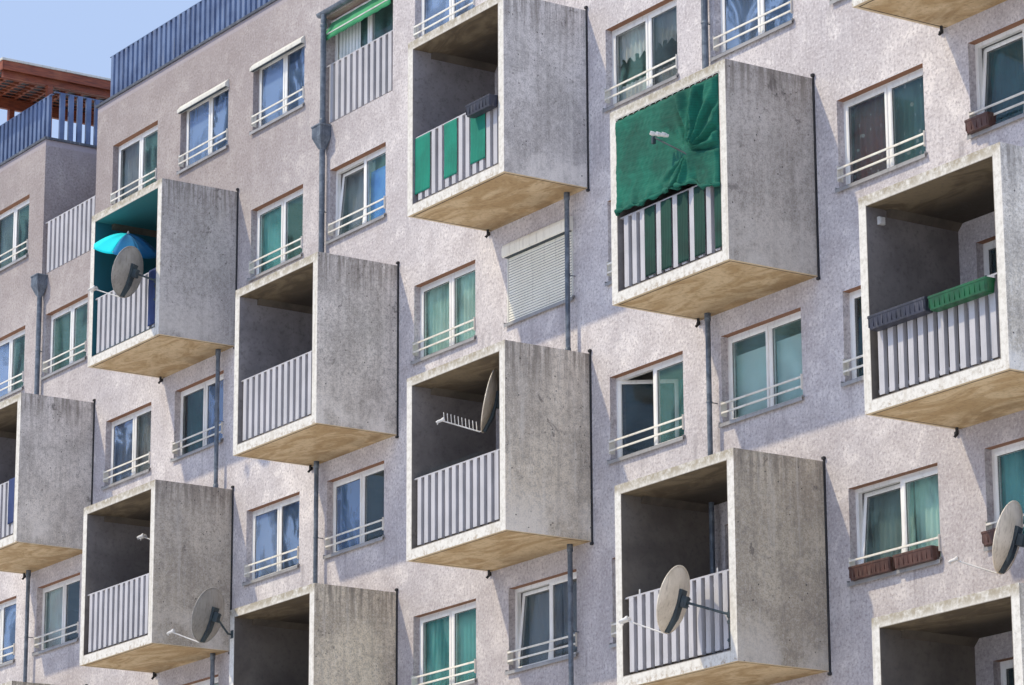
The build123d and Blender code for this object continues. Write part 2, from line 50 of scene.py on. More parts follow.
BAYS, STOREYS, TOP = 6, 8, 7
PITCH, MODULE, RISE, PLINTH = 5.745, 2.8725, 2.85, 1.3
FIRST = -17.235
FRONT, BACK = -6.0, 6.0
WIN_W, WIN_H, SILL, WIN_OFF, REVEAL = 1.915, 1.37, 1.12, 0.51, 0.125
DOOR_SILL, MEETING = 0.2, 0.045
BOX_W, BOX_D, BOX_H, SIDE, ROOF, FLOOR = 2.865, 1.6, 2.98, 0.16, 0.15, 0.17
LIP = FRONT - BOX_D
RAILING_IN, RAILING_TOP = 0.045, 1.3
LOGGIA_IN, LOGGIA_W, LOGGIA_SILL, LOGGIA_HEAD = 0.264, 2.386, 0.52, 2.6
A, B, C, D, E, F = range(6)
SHUTTERED = (D, True, 5)


def datum(storey):
    return PLINTH + storey * RISE


def box_left(bay):
    return FIRST + bay * PITCH + MODULE


def box_storeys(bay):
    return list(range(TOP - 2 + bay % 2, -1, -2))


def window_left(bay, right):
    return box_left(bay) - (0 if right else MODULE) + WIN_OFF


def front_windows():
    """Every window of the street front as (bay, right, storey)."""
    found = []
    for storey in range(STOREYS):
        for bay in range(BAYS):
            found.append((bay, False, storey))
            if storey not in box_storeys(bay) and not (storey == TOP and bay % 2 == 0):
                found.append((bay, True, storey))
    return found


def rear_windows():
    """Left edge and sill height of every window of the rear."""
    return [(window_left(bay, right), datum(storey) + SILL)
            for storey in range(STOREYS) for bay in range(BAYS) for right in (False, True)]


def shaded(tint, by):
    return tuple(c * by for c in tint)


class Form:
    """Gathers solids and sheets in one mesh."""

    def __init__(self):
        self.points, self.faces, self.smooth, self.slots = [], [], [], []

    def add(self, points, faces, smooth=False, slot=0):
        base = len(self.points)
        self.points += [tuple(p) for p in points]
        self.faces += [tuple(base + i for i in face) for face in faces]
        self.smooth += [smooth] * len(faces)
        self.slots += [slot] * len(faces)

    def box(self, low, high, slot=0):
        (a, b, c), (d, e, f) = low, high
        pts = [(a, b, c), (d, b, c), (d, e, c), (a, e, c), (a, b, f), (d, b, f), (d, e, f), (a, e, f)]
        quads = [(0, 3, 2, 1), (4, 5, 6, 7), (0, 1, 5, 4), (1, 2, 6, 5), (2, 3, 7, 6), (3, 0, 4, 7)]
        self.add(pts, quads, slot=slot)

    def block(self, low, high, edge, slot=0, turn=None):
        """A box with its edges cut off at 45 degrees."""
        lo, hi = Vector(low), Vector(high)
        centre = (lo + hi) / 2
        pts = []
        for z in (0, 1):
            for y in (0, 1):
                for x in (0, 1):
                    corner = [hi[i] if (x, y, z)[i] else lo[i] for i in range(3)]
                    inward = [-edge if (x, y, z)[i] else edge for i in range(3)]
                    for keep in range(3):
                        pts.append([corner[i] + (0 if i == keep else inward[i]) for i in range(3)])
        if turn:
            pts = [centre + turn @ (Vector(p) - centre) for p in pts]

        def at(x, y, z, keep):
            return ((z * 2 + y) * 2 + x) * 3 + keep

        faces = []
        for keep in range(3):
            u, v = [i for i in range(3) if i != keep]
            for side in (0, 1):
                loop = []
                for p, q in ((0, 0), (1, 0), (1, 1), (0, 1)):
                    bits = [0, 0, 0]
                    bits[keep], bits[u], bits[v] = side, p, q
                    loop.append(at(*bits, keep))
                flip = (side == 1) == (keep != 1)
                faces.append(tuple(loop if flip else reversed(loop)))
        for axis in range(3):
            u, v = [i for i in range(3) if i != axis]
            for p in (0, 1):
                for q in (0, 1):
                    one, two = [0, 0, 0], [0, 0, 0]
                    one[u] = two[u] = p
                    one[v] = two[v] = q
                    two[axis] = 1
                    faces.append((at(*one, u), at(*two, u), at(*two, v), at(*one, v)))
        for z in (0, 1):
            for y in (0, 1):
                for x in (0, 1):
                    faces.append((at(x, y, z, 0), at(x, y, z, 1), at(x, y, z, 2)))
        self.add(pts, faces, slot=slot)

    def rings(self, loops, closed=False, caps=False, smooth=False, slot=0):
        """Joins loops of the same count one after another."""
        count = len(loops[0])
        pts = [p for loop in loops for p in loop]
        faces = []
        last = len(loops) if closed else len(loops) - 1
        for i in range(last):
            j = (i + 1) % len(loops)
            for k in range(count):
                m = (k + 1) % count
                faces.append((i * count + k, i * count + m, j * count + m, j * count + k))
        self.add(pts, faces, smooth, slot)
        if caps:
            self.add(loops[0], [tuple(reversed(range(count)))], slot=slot)
            self.add(loops[-1], [tuple(range(count))], slot=slot)

    def tube(self, path, radius, sides=10, slot=0, radii=None):
        path = [Vector(p) for p in path]
        loops = []
        normal = None
        for i, here in enumerate(path):
            ahead = (path[min(i + 1, len(path) - 1)] - path[max(i - 1, 0)]).normalized()
            if normal is None:
                normal = ahead.orthogonal().normalized()
            normal = (normal - ahead * normal.dot(ahead)).normalized()
            other = ahead.cross(normal)
            r = radii[i] if radii else radius
            turns = [2 * math.pi * k / sides for k in range(sides)]
            loops.append([here + (normal * math.cos(t) + other * math.sin(t)) * r for t in turns])
        self.rings(loops, caps=True, smooth=True, slot=slot)

    def frame(self, x0, x1, z0, z1, y0, y1, bar, place=None):
        """A mitred sash: flat face, a small fall to the glass and a square back."""
        cut, fall = 0.006, 0.012

        def loop(inset, y):
            pts = [(x0 + inset, y, z0 + inset), (x1 - inset, y, z0 + inset),
                   (x1 - inset, y, z1 - inset), (x0 + inset, y, z1 - inset)]
            return [place @ Vector(p) for p in pts] if place else pts

        self.rings([loop(0, y1), loop(0, y0 + cut), loop(cut, y0), loop(bar - 0.016, y0),
                    loop(bar, y0 + fall), loop(bar, y1)], closed=True)

    def grid(self, rows, smooth=True, slot=0):
        count = len(rows[0])
        pts = [p for row in rows for p in row]
        faces = [
            (i * count + k, i * count + k + 1, (i + 1) * count + k + 1, (i + 1) * count + k)
            for i in range(len(rows) - 1)
            for k in range(count - 1)
        ]
        self.add(pts, faces, smooth, slot)

    def along_x(self, profile, x0, x1, slot=0):
        """A closed (y, z) outline drawn out from x0 to x1."""
        self.rings([[(x, y, z) for y, z in profile] for x in (x0, x1)], caps=True, slot=slot)

    def make(self, name, materials, slot_name, thick=0.0):
        """Turns what was gathered into a piece that rides on the root."""
        mesh = bpy.data.meshes.new(name)
        mesh.from_pydata(self.points, [], self.faces)
        mesh.polygons.foreach_set("use_smooth", self.smooth)
        mesh.polygons.foreach_set("material_index", self.slots)
        for material in materials if isinstance(materials, (list, tuple)) else [materials]:
            mesh.materials.append(material)
        mesh.validate()
        piece = bpy.data.objects.new(name, mesh)
        bpy.context.scene.collection.objects.link(piece)
        if thick:
            skin = piece.modifiers.new("thickness", "SOLIDIFY")
            skin.thickness = thick
            skin.offset = 0
        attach(piece, "root")
        return piece


class Graph:
    """A material's nodes, with short words for the usual ones."""

    def __init__(self, name, **sockets):
        self.material = bpy.data.materials.new(name)
        self.material.use_nodes = True
        self.tree = self.material.node_tree
        self.tree.nodes.clear()
        self.shader = self.tree.nodes.new("ShaderNodeBsdfPrincipled")
        end = self.tree.nodes.new("ShaderNodeOutputMaterial")
        self.tree.links.new(self.shader.outputs["BSDF"], end.inputs["Surface"])
        for key, value in sockets.items():
            self.shader.inputs[key.replace("_", " ")].default_value = value
        self.place = self.tree.nodes.new("ShaderNodeTexCoord").outputs["Object"]
        self.normal = None

    def put(self, socket, value):
        if isinstance(value, bpy.types.NodeSocket):
            self.tree.links.new(value, socket)
        elif isinstance(value, (tuple, list)) and len(value) == 3 and socket.type == "RGBA":
            socket.default_value = (*value, 1)
        else:
            socket.default_value = value

    def math(self, kind, a, b=0.0):
        node = self.tree.nodes.new("ShaderNodeMath")
        node.operation = kind
        self.put(node.inputs[0], a)
        self.put(node.inputs[1], b)
        return node.outputs[0]

    def times(self, a, b):
        return self.math("MULTIPLY", a, b)

    def either(self, a, b):
        return self.math("MAXIMUM", a, b)

    def mix(self, amount, a, b):
        node = self.tree.nodes.new("ShaderNodeMix")
        node.data_type = "RGBA"
        self.put(node.inputs["Factor"], amount)
        self.put(node.inputs[6], a)
        self.put(node.inputs[7], b)
        return node.outputs[2]

    def stain(self, colour, mask, amount, tint):
        """Colour with a share of the tint over it where the mask says."""
        return self.mix(self.times(mask, amount), colour, tint)

    def layers(self, colour, *rows):
        """Stains one after another; a row says (value, low, high, amount, tint)."""
        for value, low, high, amount, tint in rows:
            colour = self.stain(colour, self.rise(value, low, high), amount, tint)
        return colour

    def scaled(self, x, y, z, place=None):
        node = self.tree.nodes.new("ShaderNodeMapping")
        node.inputs["Scale"].default_value = (x, y, z)
        self.put(node.inputs["Vector"], place or self.place)
        return node.outputs["Vector"]

    def noise(self, scale, detail=3.0, rough=0.55, place=None, warp=0.0):
        node = self.tree.nodes.new("ShaderNodeTexNoise")
        node.inputs["Scale"].default_value = scale
        node.inputs["Detail"].default_value = detail
        node.inputs["Roughness"].default_value = rough
        node.inputs["Distortion"].default_value = warp
        self.put(node.inputs["Vector"], place or self.place)
        return node.outputs[0]

    def cells(self, scale, place=None):
        node = self.tree.nodes.new("ShaderNodeTexVoronoi")
        node.inputs["Scale"].default_value = scale
        self.put(node.inputs["Vector"], place or self.place)
        return node.outputs["Distance"]

    def rise(self, value, low, high):
        """0 below low, 1 above high, smooth between; high below low turns it round."""
        node = self.tree.nodes.new("ShaderNodeMapRange")
        node.interpolation_type = "SMOOTHSTEP"
        self.put(node.inputs["Value"], value)
        turned = high < low
        node.inputs["From Min"].default_value = high if turned else low
        node.inputs["From Max"].default_value = low if turned else high
        node.inputs["To Min"].default_value = 1.0 if turned else 0.0
        node.inputs["To Max"].default_value = 0.0 if turned else 1.0
        return node.outputs[0]

    def within(self, value, low, high, soft=0.004):
        return self.math("MULTIPLY", self.rise(value, low - soft, low + soft),
                         self.rise(value, high + soft, high - soft))

    def axes(self, vector=None):
        node = self.tree.nodes.new("ShaderNodeSeparateXYZ")
        self.put(node.inputs[0], vector or self.place)
        return node.outputs

    def joined(self, x, y, z):
        node = self.tree.nodes.new("ShaderNodeCombineXYZ")
        for socket, value in zip(node.inputs, (x, y, z)):
            self.put(socket, value)
        return node.outputs[0]

    def facing(self):
        node = self.tree.nodes.new("ShaderNodeNewGeometry")
        return self.axes(node.outputs["Normal"])

    def bump(self, height, depth, strength=1.0):
        node = self.tree.nodes.new("ShaderNodeBump")
        node.inputs["Strength"].default_value = strength
        node.inputs["Distance"].default_value = depth
        self.put(node.inputs["Height"], height)
        if self.normal:
            self.put(node.inputs["Normal"], self.normal)
        self.normal = node.outputs["Normal"]

    def done(self, colour, rough=None):
        self.put(self.shader.inputs["Base Color"], colour)
        if rough is not None:
            self.put(self.shader.inputs["Roughness"], rough)
        if self.normal:
            self.put(self.shader.inputs["Normal"], self.normal)
        return self.material


def stucco():
    """Rough render: pinkish beige with grains, soft clouds, rain streaks and damp under the coping."""
    g = Graph("rough_stucco", Roughness=0.92)
    x, _, z = g.axes()
    clouds = g.noise(0.55, 5, 0.6)
    blotch = g.noise(2.6, 6, 0.65, warp=0.4)
    grains = g.noise(21, 4, 0.75)
    streaks = g.noise(1.0, 4, 0.6, place=g.scaled(5.5, 5.5, 0.35))
    level = g.math("MODULO", g.math("SUBTRACT", z, PLINTH), RISE)
    colour = g.layers(
        g.mix(g.rise(clouds, 0.35, 0.7), (0.50, 0.46, 0.475), (0.635, 0.585, 0.585)),
        (blotch, 0.46, 0.66, 0.6, (0.42, 0.375, 0.385)),
        (blotch, 0.46, 0.34, 0.55, (0.77, 0.715, 0.70)),
        (grains, 0.50, 0.63, 0.8, (0.33, 0.29, 0.30)),
        (grains, 0.47, 0.34, 0.5, (0.84, 0.79, 0.78)),
    )
    # painted shade: the upper left of the front is darker and browner
    darker_upper_left = g.times(g.rise(z, 17.0, 22.5), g.rise(x, 3.0, -7.0))
    colour = g.stain(colour, darker_upper_left, 0.55, (0.13, 0.085, 0.07))
    # rain streaks, stronger under the window sills
    under_sill = g.times(g.rise(level, 0.1, 1.1), g.rise(level, SILL + 0.04, SILL))
    fall = g.math("ADD", g.times(g.rise(streaks, 0.52, 0.7), g.times(under_sill, 0.5)),
                  g.times(g.rise(streaks, 0.6, 0.75), 0.2))
    colour = g.mix(fall, colour, (0.30, 0.27, 0.28))
    # damp and a plain band under the coping
    top = g.times(g.rise(z, 24.2, 24.72), g.rise(streaks, 0.42, 0.6))
    colour = g.stain(colour, top, 0.6, (0.30, 0.25, 0.25))
    colour = g.layers(colour, (z, 24.60, 24.64, 0.55, (0.36, 0.32, 0.36)))
    # painted warm bounce light: the undersides of the window heads are tinted brown-orange
    heads = g.times(g.rise(g.facing()[2], -0.5, -0.8), g.within(level, 2.4, 2.6))
    colour = g.mix(heads, colour, (0.30, 0.15, 0.09))
    colour = g.layers(colour, (z, 16.0, 10.5, 0.22, (0.12, 0.085, 0.07)))
    foot = g.times(g.rise(z, 1.3, 0.2), g.rise(clouds, 0.3, 0.6))
    colour = g.stain(colour, foot, 0.6, (0.26, 0.25, 0.23))
    g.bump(grains, 0.012, 0.9)
    g.bump(g.noise(120, 2, 0.6), 0.004, 0.6)
    return g.done(colour)


def concrete(name, parity):
    """Precast box: grey-brown sides with drips and pinholes, cream edges with painted shade lines, ochre
    soffit with painted bounce light, and painted shade inside.
    """
    g = Graph(name, Roughness=0.9)
    x, y, z = g.axes()
    _, ny, nz = g.facing()
    level = g.math("MODULO", g.math("ADD", z, 2 * RISE - PLINTH - (0 if parity else RISE)), 2 * RISE)
    along = g.math("MODULO", g.math("ADD", x, PITCH * 4 - FIRST - MODULE), PITCH)
    clouds = g.noise(1.1, 6, 0.62, warp=0.3)
    fine = g.noise(13.0, 6, 0.75)
    drips = g.noise(1.0, 5, 0.65, place=g.scaled(9.0, 9.0, 0.5))
    speckle = g.noise(42.0, 3, 0.7)
    warmth = g.rise(z, 19.5, 11.5)
    black = (0.12, 0.095, 0.07)

    def over_box(bay):
        return g.within(x, box_left(bay) - 0.03, box_left(bay) + BOX_W + 0.03)

    pale = g.mix(warmth, (0.72, 0.665, 0.64), (0.76, 0.655, 0.50))
    deep = g.mix(warmth, (0.51, 0.47, 0.45), (0.52, 0.44, 0.335))
    colour = g.layers(
        g.mix(g.rise(clouds, 0.62, 0.38), deep, pale),
        (fine, 0.47, 0.64, 0.5, (0.26, 0.235, 0.215)),
        (fine, 0.46, 0.34, 0.4, (0.86, 0.81, 0.76)),
        (speckle, 0.52, 0.62, 0.5, (0.25, 0.225, 0.20)),
        (speckle, 0.46, 0.36, 0.35, (0.86, 0.81, 0.76)),
        (drips, 0.5, 0.68, 0.3, (0.27, 0.24, 0.215)),
        (drips, 0.46, 0.3, 0.35, (0.80, 0.75, 0.69)),
    )
    hem = g.times(g.rise(level, 0.95, 0.05), g.rise(clouds, 0.6, 0.4))
    colour = g.stain(colour, hem, 0.55, (0.82, 0.76, 0.70))
    colour = g.stain(colour, g.either(over_box(B), over_box(E)), 0.32, (0.15, 0.135, 0.12))
    upper = g.times(g.rise(level, 2.1, BOX_H),
                    g.rise(g.noise(1.0, 5, 0.7, place=g.scaled(12, 12, 0.8)), 0.4, 0.62))
    colour = g.stain(colour, upper, 0.75, (0.17, 0.145, 0.125))
    blots = g.times(g.rise(g.noise(3.2, 6, 0.7, warp=0.5), 0.61, 0.69), g.rise(level, 0.3, 1.4))
    colour = g.stain(colour, blots, 0.7, (0.11, 0.095, 0.09))
    pinholes = g.times(g.rise(g.cells(9.0), 0.13, 0.09), g.rise(g.noise(5.0, 1, 0.5), 0.52, 0.6))
    colour = g.stain(colour, pinholes, 0.85, (0.05, 0.045, 0.045))
    # front edges of the casting, brighter and cleaner, with painted shade lines where they turn inwards
    edge = g.times(g.rise(ny, -0.5, -0.8), g.rise(y, LIP + 0.1, LIP + 0.05))
    cream = g.mix(g.rise(fine, 0.4, 0.7), (0.67, 0.64, 0.60), (0.49, 0.46, 0.42))
    soil = g.times(g.rise(level, 2.78, 2.94), g.rise(g.noise(9.0, 6, 0.75), 0.30, 0.60))
    cream = g.stain(cream, soil, 0.85, (0.27, 0.225, 0.155))
    rust = g.times(g.rise(level, 0.14, 0.0), g.rise(fine, 0.5, 0.65))
    cream = g.stain(cream, rust, 0.7, (0.30, 0.20, 0.11))
    cream = g.layers(cream, (drips, 0.52, 0.66, 0.35, (0.42, 0.37, 0.30)))
    near, far, head = SIDE, BOX_W - SIDE, BOX_H - ROOF
    arris_shade = g.either(g.within(along, near - 0.010, near + 0.003, 0.002),
                     g.within(along, far - 0.003, far + 0.011, 0.002))
    arris_shade = g.times(arris_shade, g.within(level, 0.15, 2.85))
    lintel_shade = g.either(g.within(level, FLOOR - 0.012, FLOOR + 0.002, 0.002),
                      g.within(level, head - 0.004, head + 0.01, 0.002))
    lintel_shade = g.times(lintel_shade, g.within(along, 0.15, 2.716))
    cream = g.stain(cream, g.either(arris_shade, lintel_shade), 0.65, black)
    colour = g.mix(edge, colour, cream)
    # soffit of the floor: ochre as painted warm bounce light with darker stains, painted shade towards the
    # wall, a paler rim, and painted shade in the drip groove round it
    below = g.times(g.rise(nz, -0.5, -0.8), g.rise(level, 0.06, 0.03))
    swirl = g.noise(0.9, 5, 0.6, warp=1.6, place=g.scaled(1.0, 2.2, 1.0))
    ochre = g.mix(g.rise(swirl, 0.38, 0.62), (0.47, 0.32, 0.165), (0.66, 0.505, 0.315))
    ochre = g.layers(ochre, (fine, 0.47, 0.68, 0.4, (0.20, 0.115, 0.05)))
    # painted shade, darker towards the wall
    back = g.times(g.rise(y, -6.7, FRONT), g.rise(clouds, 0.35, 0.6))
    ochre = g.stain(ochre, back, 0.5, (0.12, 0.075, 0.035))
    rim = g.either(g.rise(along, 0.09, 0.02), g.rise(along, BOX_W - 0.09, BOX_W - 0.02))
    rim = g.either(g.rise(y, LIP + 0.10, LIP + 0.01), rim)
    ochre = g.stain(ochre, rim, 0.6, (0.72, 0.61, 0.44))
    colour = g.mix(below, colour, ochre)
    # painted shade in the drip groove
    groove, half = 0.07, 0.012
    lines = g.either(g.within(along, groove - half, groove + half, 0.003),
                     g.within(along, BOX_W - groove - half, BOX_W - groove + half, 0.003))
    lines = g.times(lines, g.rise(y, LIP + 0.05, LIP + 0.06))
    across = g.times(g.within(y, LIP + groove - half, LIP + groove + half, 0.003),
                     g.within(along, 0.06, 2.8))
    lines = g.times(g.either(lines, across), below)
    colour = g.stain(colour, lines, 0.85, (0.035, 0.025, 0.018))
    # inside of the box: painted shade, darker on the ceiling and towards the wall
    inside = g.times(g.within(along, near - 0.005, far + 0.005, 0.003),
                     g.within(level, FLOOR - 0.005, head + 0.005, 0.003))
    inside = g.times(inside, g.math("SUBTRACT", 1.0, edge))
    painted_inside_shade = g.mix(g.rise(clouds, 0.35, 0.65), (0.22, 0.20, 0.205), (0.31, 0.285, 0.29))
    ceiling = g.rise(nz, -0.5, -0.8)
    painted_inside_shade = g.mix(warmth, painted_inside_shade,
                 g.mix(g.rise(clouds, 0.35, 0.65), (0.115, 0.095, 0.08), (0.175, 0.148, 0.122)))
    # painted shade on the ceiling, darker towards the wall
    above = g.mix(g.rise(swirl, 0.4, 0.6), (0.11, 0.078, 0.045), (0.20, 0.15, 0.09))
    above = g.mix(g.rise(y, -7.2, -6.5), above, (0.05, 0.037, 0.026))
    painted_inside_shade = g.mix(ceiling, painted_inside_shade, above)
    painted_inside_shade = g.layers(painted_inside_shade, (fine, 0.48, 0.7, 0.5, (0.08, 0.07, 0.065)))
    if parity:
        # painted teal light: light through the cyan parasol tints the inside of one box in the second bay
        parasol_tinted_box = g.times(over_box(B), g.within(z, datum(6), datum(6) + BOX_H))
        painted_inside_shade = g.mix(parasol_tinted_box, painted_inside_shade, g.mix(ceiling, (0.012, 0.10, 0.13), (0.03, 0.17, 0.19)))
    colour = g.mix(inside, colour, painted_inside_shade)
    g.bump(g.times(lines, -1.0), 0.015, 1.0)
    g.bump(g.times(pinholes, -1.0), 0.01, 0.8)
    g.bump(fine, 0.004, 0.5)
    g.bump(g.noise(70, 3, 0.7), 0.0018, 0.7)
    return g.done(colour)


def painted(name, light, dark, rough=0.45, dirt=0.4, grime=(0.22, 0.20, 0.19), streak=True, scale=1.0):
    """Painted or coated surface: faint clouds, rain streaks, dust specks and a slight orange peel."""
    g = Graph(name)
    clouds = g.noise(1.7 * scale, 5, 0.6)
    runs = g.noise(1.0, 4, 0.6, place=g.scaled(16 * scale, 16 * scale, 0.9 * scale) if streak else None)
    specks = g.noise(60 * scale, 2, 0.6)
    colour = g.layers(
        g.mix(g.rise(clouds, 0.35, 0.68), light, dark),
        (runs, 0.52, 0.7, dirt, grime),
        (specks, 0.6, 0.72, dirt * 0.8, grime),
    )
    g.bump(g.noise(140 * scale, 2, 0.5), 0.0006, 0.5)
    g.bump(clouds, 0.002, 0.25)
    return g.done(colour, g.math("ADD", g.times(runs, 0.25), rough - 0.1))


def pane_glass(name, deep, pale, share, alpha):
    """Panes with painted reflections of sky or trees: the tint changes from window to window."""
    g = Graph(name, Roughness=0.04, IOR=1.5)
    g.shader.inputs["Specular IOR Level"].default_value = 0.9
    x, y, z = g.axes()
    cell = g.joined(
        g.math("FLOOR", g.math("DIVIDE", g.math("SUBTRACT", x, FIRST), MODULE / 2)),
        g.math("FLOOR", g.math("DIVIDE", y, 4.0)),
        g.math("FLOOR", g.math("DIVIDE", g.math("SUBTRACT", z, PLINTH), RISE)),
    )
    pick = g.tree.nodes.new("ShaderNodeTexWhiteNoise")
    g.put(pick.inputs["Vector"], cell)
    tint = g.mix(g.rise(pick.outputs["Value"], 0.2, 0.8), deep,
                 tuple((a + b) / 2 for a, b in zip(deep, pale)))
    painted_reflection = g.noise(1.5, 4, 0.6, place=g.scaled(1.0, 1.0, 0.55), warp=1.4)
    tint = g.layers(
        tint,
        (painted_reflection, 0.46, 0.56, share, pale),
        (painted_reflection, 0.44, 0.36, 0.7, shaded(deep, 0.4)),
    )
    g.shader.inputs["Alpha"].default_value = alpha
    g.bump(g.noise(1.2, 2, 0.5), 0.004, 0.25)
    return g.done(tint)


def cloth(name, light, dark, weave=700.0, fold=0.3, alpha=1.0, spots=None, ribs=0.0, nap=0.04):
    """Woven fabric: crossed threads, soft fading and a faint nap."""
    g = Graph(name, Roughness=0.9, Alpha=alpha)
    g.shader.inputs["Sheen Weight"].default_value = nap
    x, _, z = g.axes()

    def waves(axis, count):
        return g.math("ABSOLUTE", g.math("SINE", g.times(axis, count)))

    fade = g.noise(1.6, 4, 0.6)
    threads = g.times(waves(x, weave), waves(z, weave))
    colour = g.layers(
        g.mix(g.rise(fade, 0.35, 0.7), light, dark),
        (threads, 0.5, 0.1, fold, shaded(dark, 0.45)),
    )
    if spots:
        count, tint = spots
        ring = g.cells(count, place=g.scaled(1.0, 0.0, 0.72))
        colour = g.mix(g.rise(ring, 0.24, 0.18), colour, tint)
    if ribs:
        # painted shade in the folds and painted highlights on their ridges
        painted_folds = g.noise(2.2, 5, 0.6, warp=1.2)
        colour = g.layers(
            colour,
            (waves(z, ribs), 0.55, 0.1, 0.28, shaded(dark, 0.3)),
            (painted_folds, 0.52, 0.66, 0.3, shaded(dark, 0.3)),
            (painted_folds, 0.44, 0.32, 0.2, shaded(light, 1.5)),
        )
        g.bump(painted_folds, 0.03, 0.6)
    g.bump(threads, 0.0008, 0.6)
    g.bump(fade, 0.01, 0.2)
    return g.done(colour)


def timber():
    g = Graph("stained_timber", Roughness=0.6)
    grain = g.noise(3.0, 6, 0.65, place=g.scaled(14, 1.2, 14), warp=0.6)
    colour = g.mix(g.rise(grain, 0.35, 0.65), (0.29, 0.07, 0.026), (0.14, 0.03, 0.014))
    colour = g.mix(g.times(g.rise(g.noise(1.2, 4), 0.5, 0.7), 0.5), colour, (0.42, 0.16, 0.07))
    g.bump(grain, 0.003, 0.6)
    return g.done(colour)


def zinc():
    """Weathered zinc: blue-grey patina with pale blooms and vertical runs."""
    g = Graph("weathered_zinc", Metallic=0.35)
    bloom = g.noise(6.0, 6, 0.65, warp=0.5)
    colour = g.mix(g.rise(bloom, 0.38, 0.66), (0.095, 0.115, 0.145), (0.20, 0.23, 0.27))
    runs = g.noise(1.0, 4, 0.6, place=g.scaled(40, 40, 1.4))
    colour = g.mix(g.times(g.rise(runs, 0.5, 0.68), 0.5), colour, (0.07, 0.08, 0.10))
    g.bump(g.noise(30, 4, 0.6), 0.0012, 0.5)
    return g.done(colour, g.math("ADD", g.times(bloom, 0.3), 0.35))


STUCCO = stucco()
BOX_EVEN = concrete("precast_concrete_even_bays", 0)
BOX_ODD = concrete("precast_concrete_odd_bays", 1)
# the haunches inside the boxes are dark as painted shade
HAUNCH = painted("haunch_concrete_painted_shade", (0.13, 0.105, 0.08), (0.075, 0.06, 0.05), 0.9, 0.5,
                 (0.03, 0.025, 0.02), streak=False)
CAST = painted("cast_slab_concrete", (0.42, 0.40, 0.37), (0.30, 0.285, 0.265), 0.9, 0.5, (0.16, 0.15, 0.13))
FRAME = painted("white_window_frame", (0.85, 0.83, 0.80), (0.75, 0.73, 0.70), 0.4, 0.3, (0.34, 0.30, 0.28))
SLAT = painted("white_slat_coating", (0.49, 0.47, 0.49), (0.42, 0.405, 0.42), 0.42, 0.4, (0.24, 0.22, 0.22))
SLAT_BLUE = painted("blue_slat_coating", (0.12, 0.17, 0.30), (0.065, 0.095, 0.19), 0.4, 0.4,
                    (0.26, 0.27, 0.30))
RAIL = painted("cream_rail_coating", (0.80, 0.76, 0.68), (0.66, 0.61, 0.54), 0.4, 0.35, (0.30, 0.24, 0.18))
SILL_METAL = painted("grey_sill_metal", (0.34, 0.33, 0.33), (0.25, 0.245, 0.25), 0.4, 0.45,
                     (0.14, 0.13, 0.13))
COPING = painted("dark_coping_metal", (0.075, 0.08, 0.095), (0.045, 0.048, 0.06), 0.4, 0.35,
                 (0.30, 0.30, 0.32))
SEAL = painted("black_joint_seal", (0.018, 0.018, 0.022), (0.03, 0.03, 0.034), 0.75, 0.3,
               (0.10, 0.09, 0.09))
ZINC = zinc()
TIMBER = timber()
GLASS_TEAL = pane_glass("teal_reflection_glass", (0.02, 0.07, 0.07), (0.20, 0.42, 0.40), 0.7, 0.22)
GLASS_SKY = pane_glass("sky_reflection_glass", (0.035, 0.075, 0.15), (0.24, 0.36, 0.60), 0.95, 0.55)
GLASS_DARK = pane_glass("dark_reflection_glass", (0.006, 0.014, 0.018), (0.06, 0.11, 0.13), 0.6, 0.42)
DISH = painted("beige_dish_coating", (0.80, 0.70, 0.57), (0.64, 0.55, 0.43), 0.45, 0.5, (0.30, 0.22, 0.15),
               scale=2.0)
GREY_DISH = painted("grey_dish_coating", (0.36, 0.34, 0.31), (0.26, 0.245, 0.225), 0.5, 0.5,
                    (0.14, 0.11, 0.085), scale=2.0)
DARK = painted("dark_bracket_coating", (0.035, 0.055, 0.065), (0.02, 0.03, 0.038), 0.5, 0.35,
               (0.16, 0.17, 0.18), scale=3.0)
PALE = painted("pale_bracket_coating", (0.70, 0.68, 0.66), (0.52, 0.50, 0.48), 0.45, 0.4,
               (0.22, 0.19, 0.17), scale=3.0)
HOOD = painted("white_shutter_box", (0.66, 0.64, 0.58), (0.56, 0.54, 0.49), 0.5, 0.4, (0.30, 0.27, 0.23))
CLAY = painted("brown_planter_plastic", (0.085, 0.034, 0.026), (0.055, 0.022, 0.018), 0.5, 0.5,
               (0.17, 0.14, 0.12), scale=3.0)
LEAF = painted("green_planter_plastic", (0.006, 0.105, 0.035), (0.004, 0.06, 0.02), 0.4, 0.4,
               (0.06, 0.09, 0.045), scale=3.0)
SLATE = painted("dark_planter_plastic", (0.03, 0.032, 0.055), (0.018, 0.02, 0.034), 0.5, 0.5,
                (0.14, 0.13, 0.14), scale=3.0)
SOIL = painted("potting_soil", (0.055, 0.038, 0.026), (0.025, 0.018, 0.013), 1.0, 0.7, (0.12, 0.09, 0.06),
               streak=False, scale=6.0)
NET = cloth("green_shade_net", (0.002, 0.15, 0.10), (0.001, 0.08, 0.055), weave=520.0, fold=0.4, alpha=0.97,
            ribs=85.0, nap=0.0)
PANEL = cloth("green_panel_cloth", (0.0, 0.22, 0.15), (0.0, 0.15, 0.105), weave=640.0, nap=0.0)
WEAVE = cloth("dark_green_cloth", (0.003, 0.055, 0.04), (0.002, 0.028, 0.022), weave=640.0, nap=0.0)
BLUE = cloth("blue_towel_cloth", (0.03, 0.055, 0.17), (0.015, 0.028, 0.10), weave=560.0, nap=0.0)
AWNING = cloth("green_awning_cloth", (0.05, 0.34, 0.14), (0.03, 0.22, 0.09), weave=520.0)
